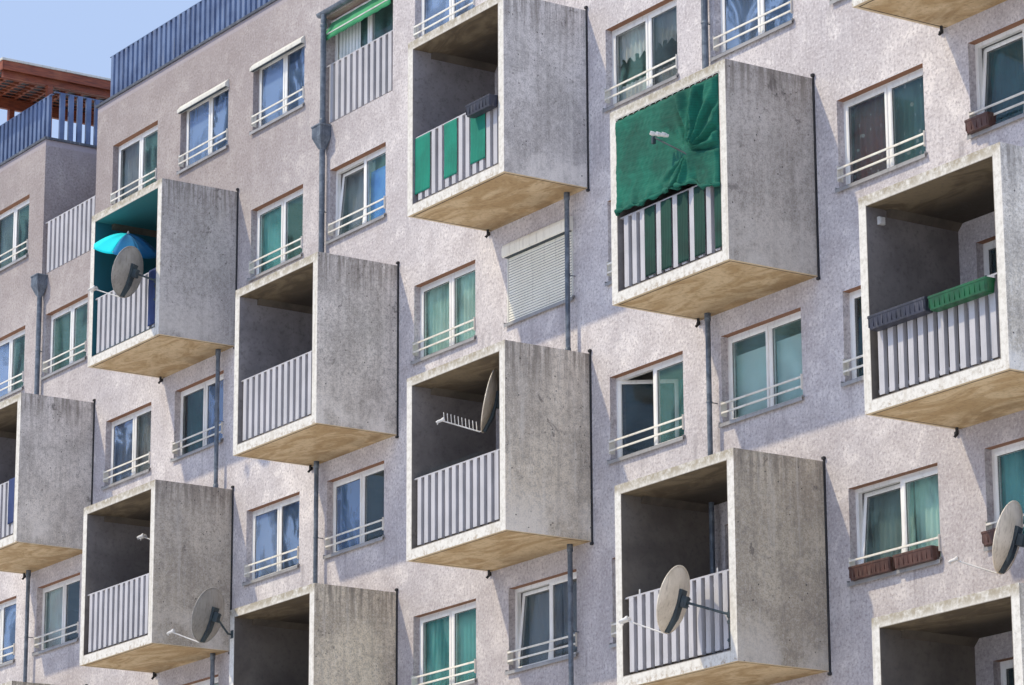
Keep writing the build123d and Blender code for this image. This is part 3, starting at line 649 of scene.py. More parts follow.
# lit cyan copy of the parasol cloth and a darker blue copy as painted shade
PARASOL_LIT = cloth("parasol_cloth_lit", (0.0, 0.72, 0.78), (0.0, 0.62, 0.68), weave=680.0, nap=0.0)
PARASOL_SHADE = cloth("parasol_cloth_painted_shade", (0.015, 0.22, 0.46), (0.01, 0.15, 0.36), weave=680.0)
SHEER = cloth("sheer_white_curtain", (0.90, 0.91, 0.90), (0.74, 0.76, 0.75), weave=900.0, fold=0.1,
              alpha=0.88)
MINT = cloth("pale_green_curtain", (0.60, 0.82, 0.74), (0.42, 0.66, 0.58), weave=900.0, fold=0.1,
             alpha=0.95)
TEAL = cloth("teal_curtain", (0.05, 0.36, 0.36), (0.03, 0.22, 0.24), weave=900.0, fold=0.15)
SKY = cloth("pale_teal_blind", (0.70, 0.92, 0.88), (0.60, 0.84, 0.82), weave=900.0, fold=0.1)
VIVID = cloth("bright_blue_blind", (0.05, 0.26, 0.85), (0.04, 0.20, 0.75), weave=900.0, fold=0.1)
RED = cloth("red_dotted_curtain", (0.40, 0.06, 0.07), (0.26, 0.04, 0.05), weave=900.0,
            spots=(9.0, (0.80, 0.72, 0.68)))
GREEN_DOT = cloth("green_dotted_curtain", (0.05, 0.30, 0.25), (0.03, 0.18, 0.16), weave=900.0,
                  spots=(9.0, (0.66, 0.76, 0.70)))
SHUTTER = painted("cream_shutter_slats", (0.88, 0.84, 0.74), (0.80, 0.76, 0.66), 0.5, 0.35,
                  (0.38, 0.34, 0.28))

MATERIALS = {
    "render": STUCCO, "plinth_concrete": CAST, "slab_concrete": CAST, "coping_metal": COPING,
    "slat_white": SLAT, "slat_blue": SLAT_BLUE, "frame_white": FRAME, "glass": GLASS_TEAL,
    "sill_metal": SILL_METAL, "seal_rubber": SEAL, "zinc": ZINC, "timber": TIMBER,
    "shutter_cream": SHUTTER, "planter_brown": CLAY, "dish_grey": DISH, "cloth_green": NET,
    "cloth_blue": BLUE, "cloth_cyan": PARASOL_LIT,
}
for entry in frame["record"]["subparts"]:
    node = entry["node"]
    if node == "ceiling_haunches":
        finish = HAUNCH
    elif entry["material_slot"] == "box_concrete":
        finish = BOX_EVEN if node[-1] in "ace" else BOX_ODD
    else:
        finish = MATERIALS[entry["material_slot"]]
    for slot in frame["nodes"][node].material_slots:
        slot.material = finish


def sashes():
    """Opening lights in every front window and balcony door, with gaskets and panes."""
    bars, seals, panes = Form(), Form(), Form()
    rim, glass_in, over = 0.06, 0.045, 0.012

    def light(x0, x1, z0, z1, y, tilt=0.0, turn=0.0, look=0):
        place = None
        if tilt or turn:
            pivot = Vector((x0, y, z0))
            spin = Matrix.Rotation(tilt, 4, "X") @ Matrix.Rotation(turn, 4, "Z")
            place = Matrix.Translation(pivot) @ spin @ Matrix.Translation(-pivot)
        bars.frame(x0 - over, x1 + over, z0 - over, z1 + over, y - 0.016, y + 0.05, 0.062, place=place)
        gasket = glass_in + 0.001
        seals.frame(x0 + gasket, x1 - gasket, z0 + gasket, z1 - gasket, y + 0.0005, y + 0.008, 0.01,
                    place=place)
        (left, right), (low, high) = (x0 + glass_in, x1 - glass_in), (z0 + glass_in, z1 - glass_in)
        corners = [(left, low), (right, low), (right, high), (left, high)]
        pts = [Vector((gx, y + d, gz)) for d in (0.012, 0.034) for gx, gz in corners]
        if place:
            pts = [place @ p for p in pts]
        panes.add(pts, [(0, 1, 2, 3), (7, 6, 5, 4), (0, 4, 5, 1), (1, 5, 6, 2), (2, 6, 7, 3), (3, 7, 4, 0)],
                  slot=look)

    def pair(x0, x1, z0, z1, y, open_left=None, looks=(0, 0)):
        middle = (x0 + x1) / 2 + MEETING
        tilt, turn = open_left or (0.0, 0.0)
        light(x0 + rim, middle - rim / 2, z0 + rim, z1 - rim, y, tilt, turn, looks[0])
        light(middle + rim / 2, x1 - rim, z0 + rim, z1 - rim, y, look=looks[1])

    tilted, turned = (-0.1, 0.0), (0.0, 0.9)
    ajar = {(C, True, 6): tilted, (F, True, 5): tilted, (D, True, 3): tilted, (F, False, 3): tilted,
            (E, False, 4): turned}
    # painted reflection tints of the two panes where they show: 0 teal, 1 sky, 2 dark
    looks = {
        (B, True, 7): (1, 1), (C, False, 7): (1, 1), (D, False, 7): (1, 1), (E, True, 6): (1, 1),
        (C, True, 6): (2, 0), (A, True, 6): (0, 0), (B, False, 7): (2, 0), (E, False, 6): (0, 2),
        (F, False, 5): (2, 2), (F, True, 5): (2, 2), (D, False, 5): (0, 0), (E, False, 4): (2, 0),
        (E, True, 4): (0, 0), (D, True, 3): (2, 2), (D, False, 3): (0, 0), (F, False, 3): (2, 0),
        (F, True, 3): (0, 0),
    }
    face = FRONT + REVEAL
    for bay, right, storey in front_windows():
        x0 = window_left(bay, right)
        z0 = datum(storey) + SILL
        key = (bay, right, storey)
        other = (random.choice((0, 0, 1, 2)), random.choice((0, 1, 2)))
        pair(x0, x0 + WIN_W, z0, z0 + WIN_H, face, ajar.get(key), looks.get(key, other))
    for bay in range(BAYS):
        x0 = window_left(bay, True)
        for storey in box_storeys(bay):
            pair(x0, x0 + WIN_W, datum(storey) + DOOR_SILL, datum(storey) + SILL + WIN_H, face,
                 looks=(2, 2))
        if bay in (C, E):
            x0 = box_left(bay) + LOGGIA_IN
            pair(x0, x0 + LOGGIA_W, datum(TOP) + LOGGIA_SILL, datum(TOP) + LOGGIA_HEAD, FRONT + 0.225)
    x0 = box_left(A) + LOGGIA_IN + (LOGGIA_W - WIN_W) / 2
    pair(x0, x0 + WIN_W, datum(TOP) + DOOR_SILL, datum(TOP) + SILL + WIN_H, FRONT + BOX_D + REVEAL / 2)
    bars.make("sash_bars", FRAME, "frame_white")
    seals.make("sash_gaskets", SEAL, "seal_rubber")
    glass = panes.make("sash_panes", [GLASS_TEAL, GLASS_SKY, GLASS_DARK], "glass")
    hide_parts("front_glass")


def guard_rails():
    """Two slim rails across each window, on plates that turn into the reveals."""
    rails, plates = Form(), Form()
    for bay, right, storey in front_windows():
        if (bay, right, storey) == SHUTTERED:
            continue
        x0 = window_left(bay, right)
        x1 = x0 + WIN_W
        z0 = datum(storey)
        for z in (1.455, 1.316):
            rails.block((x0 + 0.004, FRONT - 0.03, z0 + z - 0.016),
                        (x1 - 0.004, FRONT - 0.012, z0 + z + 0.016), 0.004)
        for x in (x0, x1 - 0.006):
            plates.block((x, FRONT - 0.034, z0 + 1.27), (x + 0.006, FRONT + 0.08, z0 + 1.50), 0.0015)
            for z in (1.31, 1.455):
                inner = x + 0.006 if x == x0 else x
                way = 1 if x == x0 else -1
                plates.tube([(inner, FRONT + 0.045, z0 + z), (inner + way * 0.006, FRONT + 0.045, z0 + z)],
                            0.009, 6)
    rails.make("guard_rails", RAIL, "sill_metal")
    plates.make("guard_rail_plates", RAIL, "sill_metal")


def sill_lips():
    """Turned-down front edges and upstands of the window sills, front and rear."""
    lips = Form()
    for bay, right, storey in front_windows():
        x0 = window_left(bay, right) - 0.035
        z = datum(storey) + SILL
        lips.block((x0, FRONT - 0.052, z - 0.022), (x0 + WIN_W + 0.07, FRONT - 0.045, z + 0.034), 0.002)
        lips.block((x0, FRONT - 0.052, z + 0.028), (x0 + WIN_W + 0.07, FRONT - 0.001, z + 0.036), 0.002)
        for x in (x0, x0 + WIN_W + 0.06):
            lips.block((x, FRONT - 0.05, z + 0.03), (x + 0.01, FRONT, z + 0.062), 0.002)
    for x0, z in rear_windows():
        lips.block((x0 - 0.035, BACK - 0.12, z), (x0 + WIN_W + 0.035, BACK + 0.035, z + 0.03), 0.004)
    lips.make("sill_edges", SILL_METAL, "sill_metal")


def rear_sashes():
    """Two-light windows in the rear openings."""
    bars, panes = Form(), Form()
    y = BACK - REVEAL
    for x0, z0 in rear_windows():
        x1, z1 = x0 + WIN_W, z0 + WIN_H
        middle = (x0 + x1) / 2
        turn = Matrix.Translation((x0 + x1, 2 * y, 0)) @ Matrix.Rotation(math.pi, 4, "Z")
        bars.frame(x0, x1, z0, z1, y, y + 0.07, 0.06, place=turn)
        bars.frame(x0 + 0.055, middle + 0.01, z0 + 0.055, z1 - 0.055, y - 0.016, y + 0.05, 0.062,
                   place=turn)
        bars.frame(middle - 0.01, x1 - 0.055, z0 + 0.055, z1 - 0.055, y - 0.0155, y + 0.05, 0.062,
                   place=turn)
        panes.box((x0 + 0.05, y - 0.04, z0 + 0.05), (x1 - 0.05, y - 0.018, z1 - 0.05))
    bars.make("rear_sash_bars", FRAME, "frame_white")
    glass = panes.make("rear_sash_panes", GLASS_TEAL, "glass")
    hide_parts("back_glass")


def railing_bars():
    """Cap of the hand rail, and the two rails behind the slats, of every slatted railing."""
    bars = Form()

    def panel(x0, x1, y, foot, top):
        bars.block((x0, y + 0.005, top), (x1, y + 0.06, top + 0.014), 0.004)
        bars.block((x0, y + 0.066, foot + 0.10), (x1, y + 0.086, foot + 0.14), 0.004)
        bars.block((x0, y + 0.066, top - 0.16), (x1, y + 0.086, top - 0.12), 0.004)

    for bay in range(BAYS):
        for storey in box_storeys(bay):
            x0 = box_left(bay) + SIDE
            panel(x0, x0 + BOX_W - 2 * SIDE, LIP + RAILING_IN, datum(storey) + FLOOR,
                  datum(storey) + RAILING_TOP)
        if bay in (A, C, E):
            x0 = box_left(bay) + LOGGIA_IN
            panel(x0, x0 + LOGGIA_W, FRONT + RAILING_IN, datum(TOP) + LOGGIA_SILL, datum(TOP) + 1.67)
    bars.make("railing_bars", SLAT, "slat_white")


def pipe_sleeves():
    """Sockets and wall clamps along the rain pipes, and rims on the hopper heads."""
    parts = Form()
    pipe_in, pipe_y, leader_y = 0.395, FRONT - 0.15, FRONT - 0.095

    def ring(x, y, z, radius, height):
        low, high, cut = z - height / 2, z + height / 2, 0.004
        parts.tube([(x, y, low), (x, y, low + cut), (x, y, high - cut), (x, y, high)], radius, 16,
                   radii=[radius - 0.003, radius, radius, radius - 0.003])

    for bay in range(BAYS):
        x = box_left(bay) + (BOX_W - pipe_in if bay % 2 else pipe_in)
        for storey in box_storeys(bay):
            foot = datum(storey)
            low = foot - 2 * RISE + BOX_H if storey >= 2 else 0.0
            middle = (low + foot) / 2
            for z in (foot - 0.06, low + 0.1):
                ring(x, pipe_y, z, 0.05, 0.12)
            ring(x, pipe_y, middle, 0.046, 0.03)
            parts.tube([(x, FRONT - 0.11, middle), (x, FRONT, middle)], 0.008, 8)
        if bay % 2 == 0:
            top = datum(TOP) + 0.48
            box_top = datum(TOP - 2) + BOX_H
            middle = (top + box_top) / 2
            ring(x, leader_y, box_top + 0.08, 0.062, 0.16)
            ring(x, leader_y, middle, 0.058, 0.03)
            parts.tube([(x, FRONT - 0.05, middle), (x, FRONT, middle)], 0.01, 8)
            parts.block((x - 0.165, FRONT - 0.245, top - 0.03), (x + 0.165, FRONT, top + 0.008), 0.008)
            if bay != A:
                ring(x, leader_y, top + 0.09, 0.06, 0.1)
                ring(x, leader_y, datum(TOP) + 2.4, 0.06, 0.06)
    parts.make("pipe_sleeves", ZINC, "zinc")


def seal_caps():
    """Small caps at the ends of the joint seals, and the drip spouts at the boxes' rear corners."""
    caps = Form()
    for bay in range(BAYS):
        for storey in box_storeys(bay):
            z0 = datum(storey)
            for x in (box_left(bay) - 0.0125, box_left(bay) + BOX_W + 0.0125):
                for z in (z0 - 0.045, z0 + BOX_H + 0.045):
                    caps.block((x - 0.03, FRONT - 0.045, z - 0.022), (x + 0.03, FRONT, z + 0.022), 0.008)
            x = box_left(bay) + 0.09
            caps.tube([(x, FRONT - 0.10, z0), (x, FRONT - 0.10, z0 - 0.09),
                       (x - 0.02, FRONT - 0.13, z0 - 0.13)], 0.022, 10)
    caps.make("seal_caps", SEAL, "seal_rubber")


WAY = Vector((-0.824, -0.485, 0.291)).normalized()
DISH_R = 0.475


def spot(bay, storey, x, y, z):
    """A point given from a bay's box line, the street front and a storey's floor line."""
    return Vector((box_left(bay) + x, FRONT + y, datum(storey) + z))


def dish(shells, mounts, arms, centre, way=WAY, radius=DISH_R, heads=1, spikes=0, look=0):
    """One dish with rolled rim, back spine, clamp, feed arm and heads; gives the clamp's place."""
    side = Vector((-way.y, way.x, 0)).normalized()
    up = way.cross(side)
    turn = Matrix((side, up, way)).transposed()
    depth = 0.2 * radius
    steps = 48
    turns = [2 * math.pi * k / steps for k in range(steps)]

    def circle(share):
        sink = depth * (share * share - 1)
        return [centre + way * sink + (side * math.cos(t) + up * math.sin(t)) * radius * share for t in turns]

    loops = [circle(k / 12) for k in range(1, 13)]
    shells.rings(loops, smooth=True, slot=look)
    shells.add(loops[0], [tuple(range(steps))], smooth=True, slot=look)
    rim = circle(1.0)
    shells.tube(rim + rim[:1], 0.008, 8, slot=look)
    spine = []
    for drop, half in ((0.16 * radius / DISH_R, 0.085), (-0.5 * radius, 0.06), (-0.985 * radius, 0.035)):
        behind = -way * depth * (1 - (drop / radius) ** 2)
        for lift in (-0.006, -0.055):
            spine += [centre + up * drop + behind + way * lift + side * w for w in (-half, half)]
    faces = [(0, 2, 3, 1), (8, 9, 11, 10)]
    for a in (0, 4):
        faces += [(a, a + 1, a + 5, a + 4), (a + 3, a + 2, a + 6, a + 7), (a + 1, a + 3, a + 7, a + 5),
                  (a + 2, a, a + 4, a + 6)]
    mounts.add(spine, faces)
    clamp = centre - way * (depth + 0.085)
    size = Vector((0.055, 0.08, 0.045))
    mounts.block(clamp - size, clamp + size, 0.006, turn=turn)
    for lift in (-0.05, 0.05):
        loop = [clamp + up * lift + side * 0.05 * math.cos(t) - way * (0.03 + 0.05 * math.sin(t)) for t in
                [math.pi * k / 8 for k in range(9)]]
        mounts.tube(loop, 0.005, 6)
    foot = centre - up * (radius + 0.008)
    feed = centre + way * 1.33 * radius - up * 0.9 * radius
    arms.tube([foot - way * 0.02 + up * 0.05, foot + way * 0.03, feed], 0.011, 10)
    for k in range(spikes):
        root = foot.lerp(feed, 0.12 + 0.8 * k / (spikes - 1))
        arms.tube([root, root + Vector((-0.02, 0, 0.15))], 0.006, 6)
    for k in range(heads):
        at = feed + side * 0.085 * (k - (heads - 1) / 2)
        aim = (centre - at).normalized()
        arms.tube([at - aim * 0.085, at - aim * 0.05, at + aim * 0.01, at + aim * 0.03, at + aim * 0.055,
                   at + aim * 0.06], 0.03, 14,
                  radii=[0.016, 0.024, 0.024, 0.034, 0.036, 0.03])
        arms.tube([at - aim * 0.05, at - aim * 0.05 - up * 0.05], 0.009, 8)
        arms.tube([at, feed], 0.008, 6)
    return clamp


def dishes():
    """Dishes seen in the photo, on masts, a box front and the wall; two stand inside boxes."""
    shells, mounts, arms = Form(), Form(), Form()

    def mast(bay, storey, foot, clamp):
        height = 0.475
        x, y = box_left(bay) + BOX_W - SIDE - 0.02, LIP + 0.02
        low, high = datum(storey) + foot, datum(storey) + foot + height
        mounts.tube([(x, y, low), (x, y, high)], 0.019, 14)
        mounts.tube([(x, y, high - 0.005), (x, y, high + 0.008)], 0.022, 14)
        for z in (low + 0.08, high - 0.14):
            mounts.block((x - 0.03, y - 0.03, z - 0.025), (x + 0.02, y + 0.024, z + 0.025), 0.004)
            mounts.tube([(x - 0.026, y - 0.022, z), (x - 0.026, y - 0.036, z)], 0.007, 6)
        top = Vector((x, y, high - 0.04))
        mounts.block(top - Vector((0.035, 0.035, 0.04)), top + Vector((0.02, 0.024, 0.04)), 0.005)
        mounts.tube([top, clamp], 0.018, 12)

    clamp = dish(shells, mounts, arms, spot(E, 3, 2.086, -2.10, 0.920), heads=2)
    mast(E, 3, 0.230, clamp)
    clamp = dish(shells, mounts, arms, spot(B, 6, 2.500, -2.08, 1.189), heads=2, look=1)
    mast(B, 6, 0.620, clamp)
    for bay, storey, place, carrier, x, z in (
        (C, 3, (-0.060, -2.0, 2.860), LIP, 0.080, 2.545),
        (F, 3, (1.575, -0.6, 1.033), FRONT, 1.830, 0.780),
    ):
        clamp = dish(shells, mounts, arms, spot(bay, storey, *place), look=1 if bay == C else 0)
        root = Vector((box_left(bay) + x, carrier, datum(storey) + z))
        elbow = root + Vector((0, -0.08, 0))
        mounts.block(root - Vector((0.05, 0.008, 0.07)), root + Vector((0.05, 0.0, 0.07)), 0.003)
        mounts.tube([root, elbow, clamp], 0.018, 12)
    # two dishes that stand inside their boxes
    clamp = dish(shells, mounts, arms, spot(D, 4, 1.95, -1.30, 2.24),
                 Vector((-0.60, -0.77, 0.22)).normalized(), 0.5, 1, 10)
    mounts.tube([clamp, spot(D, 4, BOX_W - SIDE - 0.02, -0.9, 2.05), spot(D, 4, BOX_W - SIDE, -0.9, 2.05)],
                0.018, 12)
    clamp = dish(shells, mounts, arms, spot(B, 4, 2.237, -0.90, 2.38), WAY, 0.42, 2)
    mounts.tube([clamp, spot(B, 4, BOX_W - SIDE - 0.02, -0.8, 2.2), spot(B, 4, BOX_W - SIDE, -0.8, 2.2)],
                0.018, 12)
    # feed arm that pokes through the net
    tip, root = spot(E, 5, 1.54, -1.90, 2.11), spot(E, 5, 2.09, -1.70, 1.73)
    mounts.tube([tip, root, spot(E, 5, 2.35, -1.53, 1.56), spot(E, 5, BOX_W - SIDE, -1.45, 1.45)], 0.012,
                10)
    for k in range(3):
        at = tip + Vector((0.11 * k - 0.02, 0.02 * k, 0.06 - 0.035 * k))
        arms.tube([at + Vector((-0.02, -0.05, 0.02)), at + Vector((0.0, -0.01, 0)),
                   at + Vector((0.02, 0.05, -0.01))], 0.035, 12,
                  radii=[0.028, 0.036, 0.022])
    mounts.block(tip - Vector((0.05, 0.03, 0.09)), tip + Vector((0.0, 0.03, 0.02)), 0.008)
    bowls = shells.make("dish_bowls", [DISH, GREY_DISH], "dish_grey", thick=0.004)
    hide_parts("satellite_dishes")
    mounts.make("dish_mounts", DARK, "dish_grey")
    arms.make("dish_feed_arms", PALE, "dish_grey")


def spikes():
    """Thin bird spikes along the hand rail of one balcony."""
    pins = Form()
    for k in range(54):
        root = spot(D, 4, 0.2 + 0.036 * k, -1.52, 1.31)
        for lean in (-0.03, 0.03):
            pins.tube([root, root + Vector((0.006 * (k % 3 - 1), lean, 0.085))], 0.0018, 5)
    for k in range(4):
        pins.block(spot(D, 4, 0.18 + 0.49 * k, -1.53, 1.31), spot(D, 4, 0.65 + 0.49 * k, -1.51, 1.318),
                   0.002)
    pins.make("bird_spikes", DARK, "dish_grey")


def net():
    """Shade net over one balcony's opening, drawn in at the arm that goes through it."""
    sheet, hem, laces = Form(), Form(), Form()
    left, right, top, hem_z = SIDE + 0.012, BOX_W - SIDE - 0.012, 2.815, 1.37
    knot_x, knot_z = 2.05, 1.80
    down_steps, across_steps = 75, 120
    rows = []

    def smooth(value, low, high):
        t = min(max((value - low) / (high - low), 0.0), 1.0)
        return t * t * (3 - 2 * t)

    for i in range(down_steps + 1):
        down = i / down_steps
        row = []
        for k in range(across_steps + 1):
            u = k / across_steps
            x = left + (right - left) * u
            bottom = (hem_z - 0.19 * smooth(u, 0.72, 0.9)
                      + 0.015 * math.sin(u * 17) + 0.008 * math.sin(u * 43))
            pull = 0.02 * math.sin(u * math.pi * 9) ** 2
            z = top - pull * (1 - down) + (bottom - top) * down
            dx, dz = x - knot_x, z - knot_z
            reach = math.hypot(dx, dz)
            angle = math.atan2(dz, dx)
            # folds fan out from the knot up, down to the left and to the right
            fan = math.exp(-((angle - 1.35) / 0.75) ** 2) + 0.7 * math.exp(-((angle + 2.3) / 0.4) ** 2)
            fan += 0.8 * math.exp(-((angle - 0.1) / 0.35) ** 2)
            fall = smooth(reach, 0.03, 0.22) * (1 - smooth(reach, 0.75, 1.5))
            fold = (math.sin(angle * 15 + 0.9 * math.sin(reach * 5))
                    + 0.45 * math.sin(angle * 27 + 1.0 + 2 * reach))
            out = 0.075 * math.exp(-(reach / 0.22) ** 2) + 0.085 * fan * fall * fold
            out += (0.006 * math.sin(x * 9 + z * 4) + 0.0025 * math.sin(x * 47 + 3 * math.sin(z * 21))
                    + 0.002 * math.sin(z * 63 + x * 11))
            out += 0.018 * smooth(down, 0.82, 1.0) * (math.sin(x * 14) + 0.6 * math.sin(x * 31 + 1))
            # the upper hem and both side hems stay on the box
            hold = smooth(down, 0.0, 0.05) * smooth(u, 0.0, 0.02) * smooth(u, 1.0, 0.98)
            out += 0.020 * math.sin(x * 5.3 + 1.4 * math.sin(z * 3.1)) * math.sin(z * 4.1 + x) ** 2
            y = -1.590 - max(out + 0.055, 0.004) * hold
            row.append(spot(E, 5, x, y, z))
        rows.append(row)
    sheet.grid(rows)
    path = [p + Vector((0, -0.012, -0.012)) for p in rows[-1][::3]]
    fat = [0.026 + 0.014 * math.sin(k * 1.3) + 0.010 * math.sin(k * 2.9 + 1) for k in range(len(path))]
    hem.tube(path, 0.03, 14, radii=fat)
    for k in range(19):
        x = left + (right - left) * k / 18
        laces.tube([spot(E, 5, x, -1.602, 2.822), spot(E, 5, x + 0.02, -1.607, 2.795),
                    spot(E, 5, x + 0.045, -1.602, 2.822)], 0.004, 6)
    laces.tube([spot(E, 5, left, -1.604, 2.824), spot(E, 5, right, -1.604, 2.824)], 0.005, 6)
    laces.box(spot(E, 5, 2.12, -1.597, 2.80), spot(E, 5, 2.66, -1.585, 2.83), slot=1)
    cloth_piece = sheet.make("shade_net", NET, "cloth_green", thick=0.003)
    roll = hem.make("shade_net_hem", NET, "cloth_green")
    laces.make("shade_net_laces", [PALE, CLAY], "cloth_green")
    return cloth_piece


def strip(form, bay, storey, x0, x1, z0, z1, y, waves, depth, ruche=0.0):
    """One hanging cloth with upright waves."""
    rows = []
    down_steps, across_steps = 24, 28
    for i in range(down_steps + 1):
        z = z1 + (z0 - z1) * i / down_steps
        row = []
        for k in range(across_steps + 1):
            u = k / across_steps
            drop = i / down_steps
            out = depth * (0.35 + 0.65 * drop) * math.sin(u * math.pi * 2 * waves + 0.6 * math.sin(z * 5))
            if ruche:
                out += ruche * math.sin(z * 120) * max(0.0, 1 - drop * 4)
            edge = 0.006 * math.sin(z * 9 + x0 * 7) * drop
            row.append(spot(bay, storey, x0 + (x1 - x0) * u + edge, y - depth - abs(out), z))
        rows.append(row)
    form.grid(rows)


def railing_cloths(net_piece):
    """Panels tied over railings, cloths wound between slats, and cloths hung over rails."""
    panels, wound, towels = Form(), Form(), Form()
    face = -BOX_D + RAILING_IN
    for k, (x0, x1) in enumerate(((0.17, 0.63), (1.06, 1.44), (1.84, 2.27))):
        strip(panels, D, 6, x0, x1, 0.33 + 0.03 * k, 1.285, face - 0.001, 2.5, 0.004,
              ruche=0.010 if k == 1 else 0.0)
    for centre in (0.925, 1.331, 1.737, 2.143):
        strip(wound, E, 5, centre - 0.125, centre + 0.125, 0.24, 1.28, face - 0.001, 2.0, 0.007)
    strip(wound, E, 5, 2.50, 2.66, 0.24, 1.28, face - 0.001, 1.0, 0.007)
    for bay, storey, x0, x1, z0 in ((B, 6, 2.37, 2.66, 0.25), (A, 5, 2.38, 2.70, 0.42)):
        strip(towels, bay, storey, x0, x1, z0, 1.318, face - 0.004, 2.5, 0.012)
    strip(towels, F, 3, 1.33, 1.75, 0.56, 1.47, -0.055, 3.0, 0.012)
    tied = panels.make("railing_panels", PANEL, "cloth_green", thick=0.003)
    dark = wound.make("railing_windings", WEAVE, "cloth_green", thick=0.003)
    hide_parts("green_cloths")
    hung = towels.make("hung_towels", BLUE, "cloth_blue", thick=0.004)
    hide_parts("blue_cloths")


def parasol():
    """Parasol with eight gores that sag between their ribs, tilted to the street."""
    canopy, bones = Form(), Form()
    centre, lean = spot(B, 6, 0.78, -1.25, 2.19), Vector((0.402, -0.084, 0.912)).normalized()
    across = lean.orthogonal().normalized()
    other = lean.cross(across)
    radius, rise, valance = 0.64, 0.30, 0.055

    def at(share, turn_at):
        frac = (turn_at / (math.pi / 4)) % 1.0
        sag = math.sin(frac * math.pi)
        r = radius * share * (1 - 0.045 * sag * share)
        height = rise * (1 - share ** 1.9) - 0.028 * sag * math.sin(share * math.pi * 0.75)
        return centre + (across * math.cos(turn_at) + other * math.sin(turn_at)) * r + lean * height

    # gores that face the upper left get the lit cyan, the others the blue of painted shade
    toward = Vector((-0.9, -0.2, 0.4))
    for gore in range(8):
        mid = (gore + 0.5) * math.pi / 4
        outward = across * math.cos(mid) + other * math.sin(mid)
        slot = 0 if outward.dot(toward) > -0.25 else 1
        rows = []
        for i in range(15):
            share = max(i, 0.25) / 13
            row = []
            for k in range(9):
                turn_at = (gore + k / 8) * math.pi / 4
                if i < 14:
                    row.append(at(share, turn_at))
                else:
                    row.append(at(1.0, turn_at) - Vector((0, 0, valance)))
            rows.append(row)
        canopy.grid(rows, slot=slot)
        tip = at(1.0, gore * math.pi / 4)
        ridge = [at(s / 10, gore * math.pi / 4) - lean * 0.012 for s in range(1, 11)]
        bones.tube(ridge, 0.0045, 6)
        bones.tube([tip - lean * 0.012, tip + (tip - centre).normalized() * 0.015 - lean * 0.01], 0.008, 8)
        bones.tube([at(0.5, gore * math.pi / 4) - lean * 0.015, centre + lean * 0.02], 0.004, 6)
    crown = centre + lean * rise
    bones.tube([crown - lean * 0.02, crown + lean * 0.02, crown + lean * 0.05], 0.02, 12,
               radii=[0.03, 0.022, 0.008])
    foot = Vector((centre.x, centre.y, datum(6) + FLOOR))
    bones.tube([foot, centre - Vector((0, 0, 0.1)), centre + lean * 0.05, crown], 0.018, 16)
    bones.tube([foot, foot + Vector((0, 0, 0.02)), foot + Vector((0, 0, 0.06)),
                foot + Vector((0, 0, 0.30))], 0.2, 28,
               radii=[0.22, 0.22, 0.20, 0.028])
    bones.tube([centre - Vector((0, 0, 0.16)), centre - Vector((0, 0, 0.06))], 0.026, 14)
    shade = canopy.make("parasol_canopy", [PARASOL_LIT, PARASOL_SHADE], "cloth_cyan", thick=0.0025)
    bones.make("parasol_frame", PALE, "cloth_cyan")
    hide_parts("parasol")


def flower_boxes():
    """Flower boxes with rims, feet and hooks, filled with soil."""
    tubs = Form()

    def trough(bay, storey, x0, x1, y0, z0, look, size=0.19):
        low, top = spot(bay, storey, x0, y0 - size, z0), spot(bay, storey, x1, y0, z0 + size)

        def loop(inset, z):
            ring = []
            for cx, cy, start in ((low.x, low.y, 180), (top.x, low.y, 270), (top.x, top.y, 0),
                                  (low.x, top.y, 90)):
                ox = inset + 0.025 if cx == low.x else -inset - 0.025
                oy = inset + 0.025 if cy == low.y else -inset - 0.025
                for step in range(5):
                    t = math.radians(start + 90 * step / 4)
                    ring.append((cx + ox + 0.025 * math.cos(t), cy + oy + 0.025 * math.sin(t), z))
            return ring

        z1 = top.z
        tubs.rings([loop(0.026, low.z), loop(0.020, low.z + 0.006), loop(0.006, z1 - 0.034),
                    loop(0.0, z1 - 0.030), loop(0.0, z1 - 0.004), loop(0.003, z1), loop(0.010, z1),
                    loop(0.012, z1 - 0.004), loop(0.016, z1 - 0.035)], slot=look)
        tubs.add(loop(0.026, low.z), [tuple(reversed(range(20)))], slot=look)
        tubs.add([(x, y, z + 0.004 * math.sin(x * 60 + y * 50)) for x, y, z in loop(0.016, z1 - 0.03)],
                 [tuple(range(20))], slot=3)
        count = max(2, int((x1 - x0) / 0.09))
        for k in range(count):
            x = low.x + 0.03 + (top.x - low.x - 0.06) * k / (count - 1)
            tubs.block((x - 0.004, low.y + 0.005, low.z + 0.03), (x + 0.004, low.y + 0.02, z1 - 0.045),
                       0.0015, slot=look)

    face = -BOX_D + RAILING_IN
    trough(F, 4, 0.270, 1.450, face, 1.065, 2)
    trough(F, 4, 1.500, 2.640, face, 1.045, 1)
    trough(D, 6, 1.960, 2.680, face - 0.005, 1.115, 2)
    for storey, start, length in ((3, -2.25, 0.90), (3, -1.29, 0.83), (3, 0.53, 0.48), (5, 0.53, 0.48)):
        trough(F, storey, start, start + length, 0.04, 1.15, 0)
    for bay, storey, x in ((F, 4, 0.45), (F, 4, 1.27), (F, 4, 1.7), (F, 4, 2.44), (D, 6, 2.1),
                           (D, 6, 2.55)):
        tubs.block(spot(bay, storey, x - 0.012, face - 0.012, 1.22),
                   spot(bay, storey, x + 0.012, face - 0.006, 1.318), 0.002, slot=2)
        tubs.block(spot(bay, storey, x - 0.012, face - 0.012, 1.314),
                   spot(bay, storey, x + 0.012, face + 0.075, 1.32), 0.002, slot=2)
    piece = tubs.make("flower_tubs", [CLAY, LEAF, SLATE, SOIL], "planter_brown")
    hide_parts("flower_boxes")


